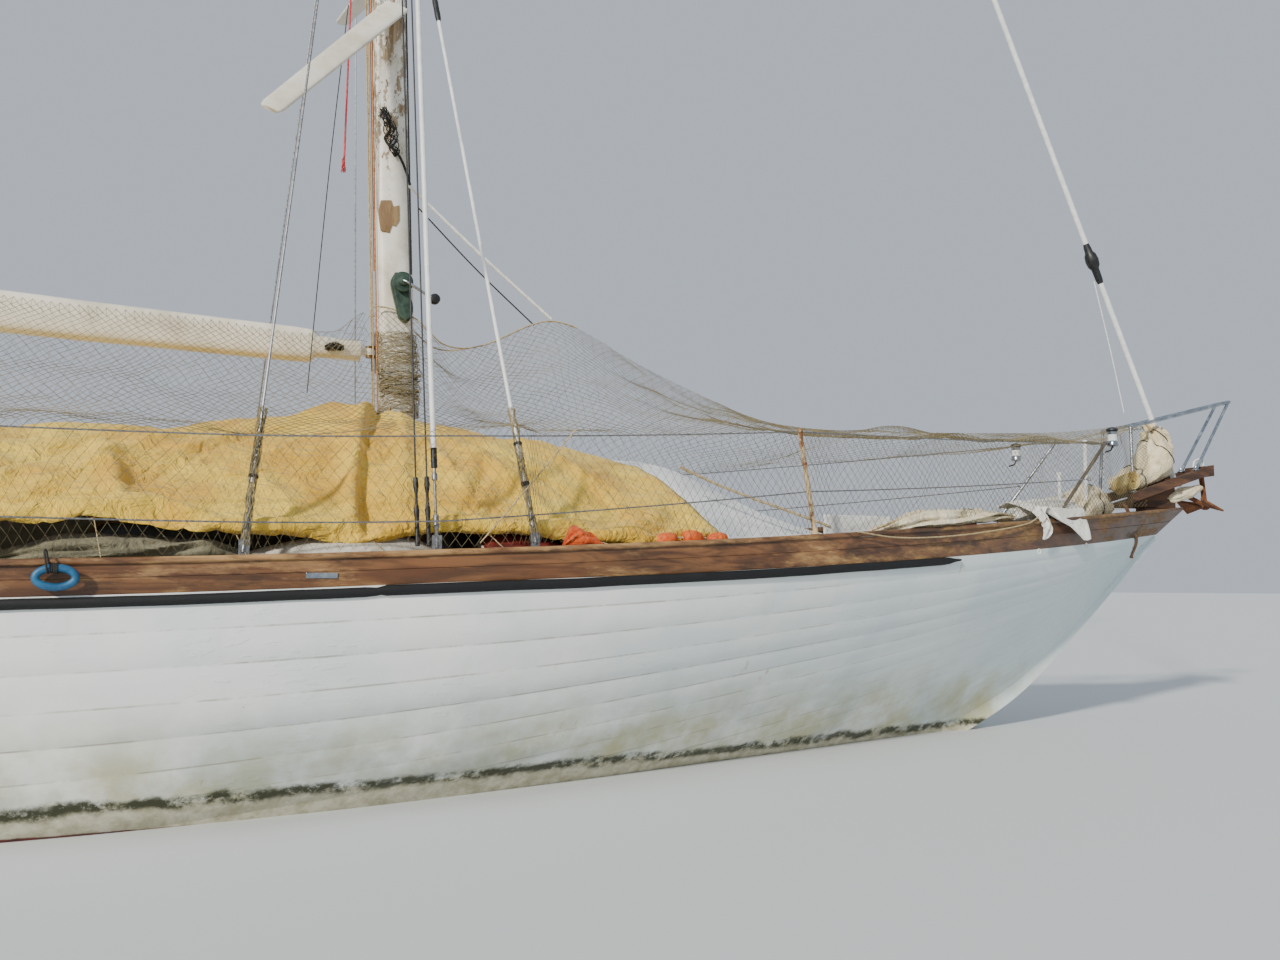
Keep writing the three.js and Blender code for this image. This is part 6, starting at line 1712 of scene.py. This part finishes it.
curl = Shape()
turn = np.linspace(0, 4.6 * 2 * math.pi, 150)
far = 0.014 + 0.0130 * turn / (2 * math.pi) + 0.002 * noise(spot(turn), 0.9, 5)
curl.rings([spot(6.43 + far * np.cos(turn) + 0.05 * s, 0.19 * s - 0.21,
                 1.800 + far * np.sin(turn) * 0.98 - 0.03 * s) for s in np.linspace(0, 1, 7)],
           around=False, ends=False)
YELLOW_CLOTH = cloth("yellow_roll_cloth", "d3b25a", "ecd793", "8f7436", 3, dirty=0.6)
make("yellow_roll", curl, YELLOW_CLOTH, thick=0.007, angle=80)

# Canvas heaped along the starboard rail, and a white cloth with eyelets over it near the bow

def along_rail(rows):
    """Rows of x, distance outboard of the rail's middle, height over it, half width and half height."""
    return [(x, -(rail_y(x) + out), rail_top(x) + up, wide, high, 0) for x, out, up, wide, high in rows]


RAIL_CANVAS = along_rail([(3.50, -0.07, 0.000, 0.030, 0.020), (3.70, -0.04, 0.034, 0.100, 0.052),
                          (3.95, -0.03, 0.052, 0.120, 0.066), (4.25, -0.03, 0.052, 0.120, 0.062),
                          (4.55, -0.04, 0.046, 0.110, 0.054), (4.80, -0.05, 0.022, 0.050, 0.030)])
WHITE_HEAP = along_rail([(4.74, -0.12, 0.010, 0.030, 0.030), (4.92, -0.13, 0.045, 0.100, 0.070),
                         (5.15, -0.14, 0.062, 0.125, 0.086), (5.40, -0.14, 0.052, 0.105, 0.072),
                         (5.60, -0.13, 0.010, 0.040, 0.030)])
rail_canvas = soft("rail_canvas", bundle(RAIL_CANVAS, 5, 56, 110, 0.030, 5), CANVAS)
white_heap = soft("white_heap", bundle(WHITE_HEAP, 12, 56, 80, 0.032, 6), WHITE_CANVAS)
OVER_RAIL = [(-0.270, 0.080), (-0.150, 0.125), (-0.050, 0.085), (0.030, 0.045), (0.052, -0.030),
             (0.058, -0.120), (0.060, -0.225)]


def over_rail(x, share, lift=0.0, waves=1.0):
    """Cloth over the cap rail; share runs from its inner edge to its foot outside."""
    out, up = np.array(OVER_RAIL).T
    at = np.linspace(0, 1, len(out))
    reach = share * (1 - 0.22 * waves * np.sin(5.1 * x + 0.6) ** 2)
    hang = np.clip((share - 0.5) * 2, 0, 1)
    crumple = noise(spot(x, 0.6 * share, 0.4), 7.5, 23, 3)
    wave = waves * hang * (0.012 * np.sin(34 * x) + 0.014 + 0.012 * crumple)
    y = rail_y(x) + np.interp(reach, at, out) + lift + wave
    z = rail_top(x) + np.interp(reach, at, up) + lift + 0.030 * waves * crumple * (1 - hang)
    return x + 0.02 * waves * hang * np.sin(17 * x), -y, z


cloth_us, cloth_vs = np.linspace(4.84, 5.56, 64), np.linspace(0, 1, 48)
cloth_shape, _ = grid(cloth_us, cloth_vs, lambda x, s: over_rail(x, s, 0.008))
under_cloth, _ = grid(np.linspace(4.76, 5.64, 30), np.linspace(0, 1, 20),
                      lambda x, s: over_rail(x, s, -0.006, 0.0))
inner_edge = [row * len(cloth_vs) for row in range(len(cloth_us))]
rail_cloth = settle("rail_cloth", cloth_shape, under_cloth, WHITE_CANVAS, (), 0.05, 16, inner_edge)
loops = Shape()
for x in (4.93, 5.50):
    loops.ring(rail_point(x, -1, -0.207, 0.074), 0.015, 0.0035, (0.1, 1, 0), 18, 6, 0.7)
make("cloth_loops", loops, WHITE_ROPE, angle=70)

strap = []
for t in np.linspace(0, 1, 30):
    z = 1.600 - 0.38 * t
    xs = np.linspace(6.17 + 0.33 * t, 6.24 + 0.32 * t, 5)
    strap.append(spot(xs, -(skin_y(xs, z) + 0.004 + 0.002 * math.sin(9 * t)), z))
WEBBING = plain("brown_webbing", "6a4a30", "8d6a48", 26, 0.85, bump=0.002)
make("bow_strap", Shape().rings(strap, around=False, ends=False), WEBBING, thick=0.003, angle=80)

CHOCK_FOOT, UNDER_PLATFORM = 1.612, 0.036
chock = []
for x in np.linspace(6.46, 7.02, 12):
    wide, top = np.interp(x, [6.46, 7.02], [0.080, 0.050]), platform_z(x) - UNDER_PLATFORM
    chock.append([(x, -wide, CHOCK_FOOT), (x, wide, CHOCK_FOOT), (x, wide, top), (x, -wide, top)])
make("platform_chock", Shape().rings(chock), TIMBER, bevel=0.004)
HALF_BAIL = np.array([(7.33, 0.045, 1.90), (7.335, 0.045, 1.985), (7.345, 0.03, 2.017)])
bail = Shape().tube(smooth([*(HALF_BAIL * [1, -1, 1]), *HALF_BAIL[::-1]], 0.012), 0.008, 10)
make("platform_bail", bail, WHITE_TUBE, angle=60)

# Deck and rail: pale board, covers, floats, ropes, blue ring and scupper plates

PALE_X, PALE_TOP = [0.06, 0.30, 0.61, 0.85, 1.06], [1.125, 1.195, 1.252, 1.228, 1.150]
PALE_HALF = [0.05, 0.20, 0.25, 0.21, 0.06]
pale = [arch(x, -1.37, -0.85 * hermite(PALE_X, PALE_HALF, x), deck_top(x, 1.3) + 0.008,
             hermite(PALE_X, PALE_TOP, x), 0.8, 0.7, 23) for x in np.linspace(0.06, 1.06, 40)]
make("pale_board", Shape().rings(pale), WHITE_RIM, angle=50)
SIDE_COVER = [(-0.78, -1.38, 1.120, 0.060, 0.040, 0), (-0.55, -1.41, 1.150, 0.130, 0.075, 0),
              (-0.25, -1.42, 1.155, 0.140, 0.078, 0), (0.00, -1.42, 1.150, 0.130, 0.070, 0),
              (0.14, -1.40, 1.130, 0.060, 0.045, 0)]
side_cover = soft("side_cover", bundle(SIDE_COVER, 14, 48, 90, 0.020, 4), OLIVE_COVER)
board_form = Shape().box((3.255, -1.052, 1.205), (3.695, -1.032, 1.412))
make("white_board", board_form, WHITE_TUBE, bevel=0.004)
FLOAT = [(0.008, -0.055), (0.026, -0.050), (0.036, -0.022), (0.036, 0.022), (0.026, 0.050), (0.008, 0.055)]
floats = Shape()
for x, z, tip in ((2.13, 1.236, 0.10), (2.27, 1.250, -0.06), (2.41, 1.242, 0.08)):
    floats.lathe(FLOAT, (x, -1.41, z), (1, 0.15, tip), 20)
make("orange_floats", floats, plain("orange_foam", "d9541c", "ef7a35", 18, 0.6, bump=0.001), angle=60)
float_rope = laid(Shape(), [(2.05, -1.40, 1.21), (2.13, -1.40, 1.238), (2.27, -1.425, 1.250),
                            (2.41, -1.395, 1.243), (2.50, -1.41, 1.230), (2.56, -1.42, 1.20)], 0.006)
laid(float_rope, [(2.423, -0.90, 1.668), (2.62, -0.915, 1.585), (2.85, -0.95, 1.500), (3.05, -1.00, 1.43),
                  (3.28, -1.06, 1.345)], 0.008)
make("beige_ropes", float_rope, TAN_ROPE, angle=80)
ring_shape = Shape().ring((-0.53, -1.764, 1.036), 0.037, 0.0150, (0, 1, 0), 44, 14, 1.85)
make("blue_ring", ring_shape, BLUE, angle=80)
hanger = Shape().tube(smooth([(-0.575, -1.70, 1.142), (-0.572, -1.760, 1.135), (-0.560, -1.790, 1.085),
                              (-0.556, -1.764, 1.052), (-0.560, -1.742, 1.09), (-0.568, -1.735, 1.137)],
                             0.008), 0.0036, 7)
for k in range(5):
    hanger.ring((-0.548 + 0.006 * k, -1.764, 1.073 - 0.0006 * k), 0.019, 0.0026,
                (1, 0.1 * math.sin(k), 0), 18, 6)
make("blue_ring_hanger", hanger, DARK_NET, angle=80)
SCUPPER_X = 0.45
scuppers = Shape()
for side in (-1, 1):
    y, z = beam(SCUPPER_X), sheer(SCUPPER_X) + 0.050
    scuppers.box((SCUPPER_X - 0.064, side * (y - 0.0002), z - 0.012),
                 (SCUPPER_X + 0.064, side * (y + 0.0048), z + 0.012))
make("scupper_plates", scuppers, STEEL, bevel=0.0015)

# An orange cloth stuffed under the tarpaulin's edge, and the ties of that edge

ORANGE_HEAP = [(1.555, -1.485, 1.185, 0.018, 0.020, 0), (1.60, -1.50, 1.235, 0.042, 0.062, 0),
               (1.67, -1.50, 1.232, 0.046, 0.052, 0), (1.74, -1.49, 1.208, 0.040, 0.034, 0),
               (1.79, -1.485, 1.188, 0.018, 0.015, 0)]
orange_heap = soft("orange_cloth", bundle(ORANGE_HEAP, 9, 40, 50, 0.020, 5), ORANGE_CLOTH)

ties, eyelets = Shape(), Shape()
for row in np.linspace(0, len(tarp_us) - 1, 8).astype(int):
    for side in (-1, 1):
        edge = np.array(tarp_place(tarp_us[row], side, 0.004))
        ties.tube([edge, rail_point(edge[0], side, -0.015, 0.030) + (0.05, 0, 0)], 0.0022, 7)
        eyelets.ring(edge, 0.011, 0.0026, (0, 0.4 * side, 1), 18, 6)
make("tarpaulin_ties", ties, TAN_ROPE, angle=80)
make("tarpaulin_eyelets", eyelets, BRONZE, angle=60)
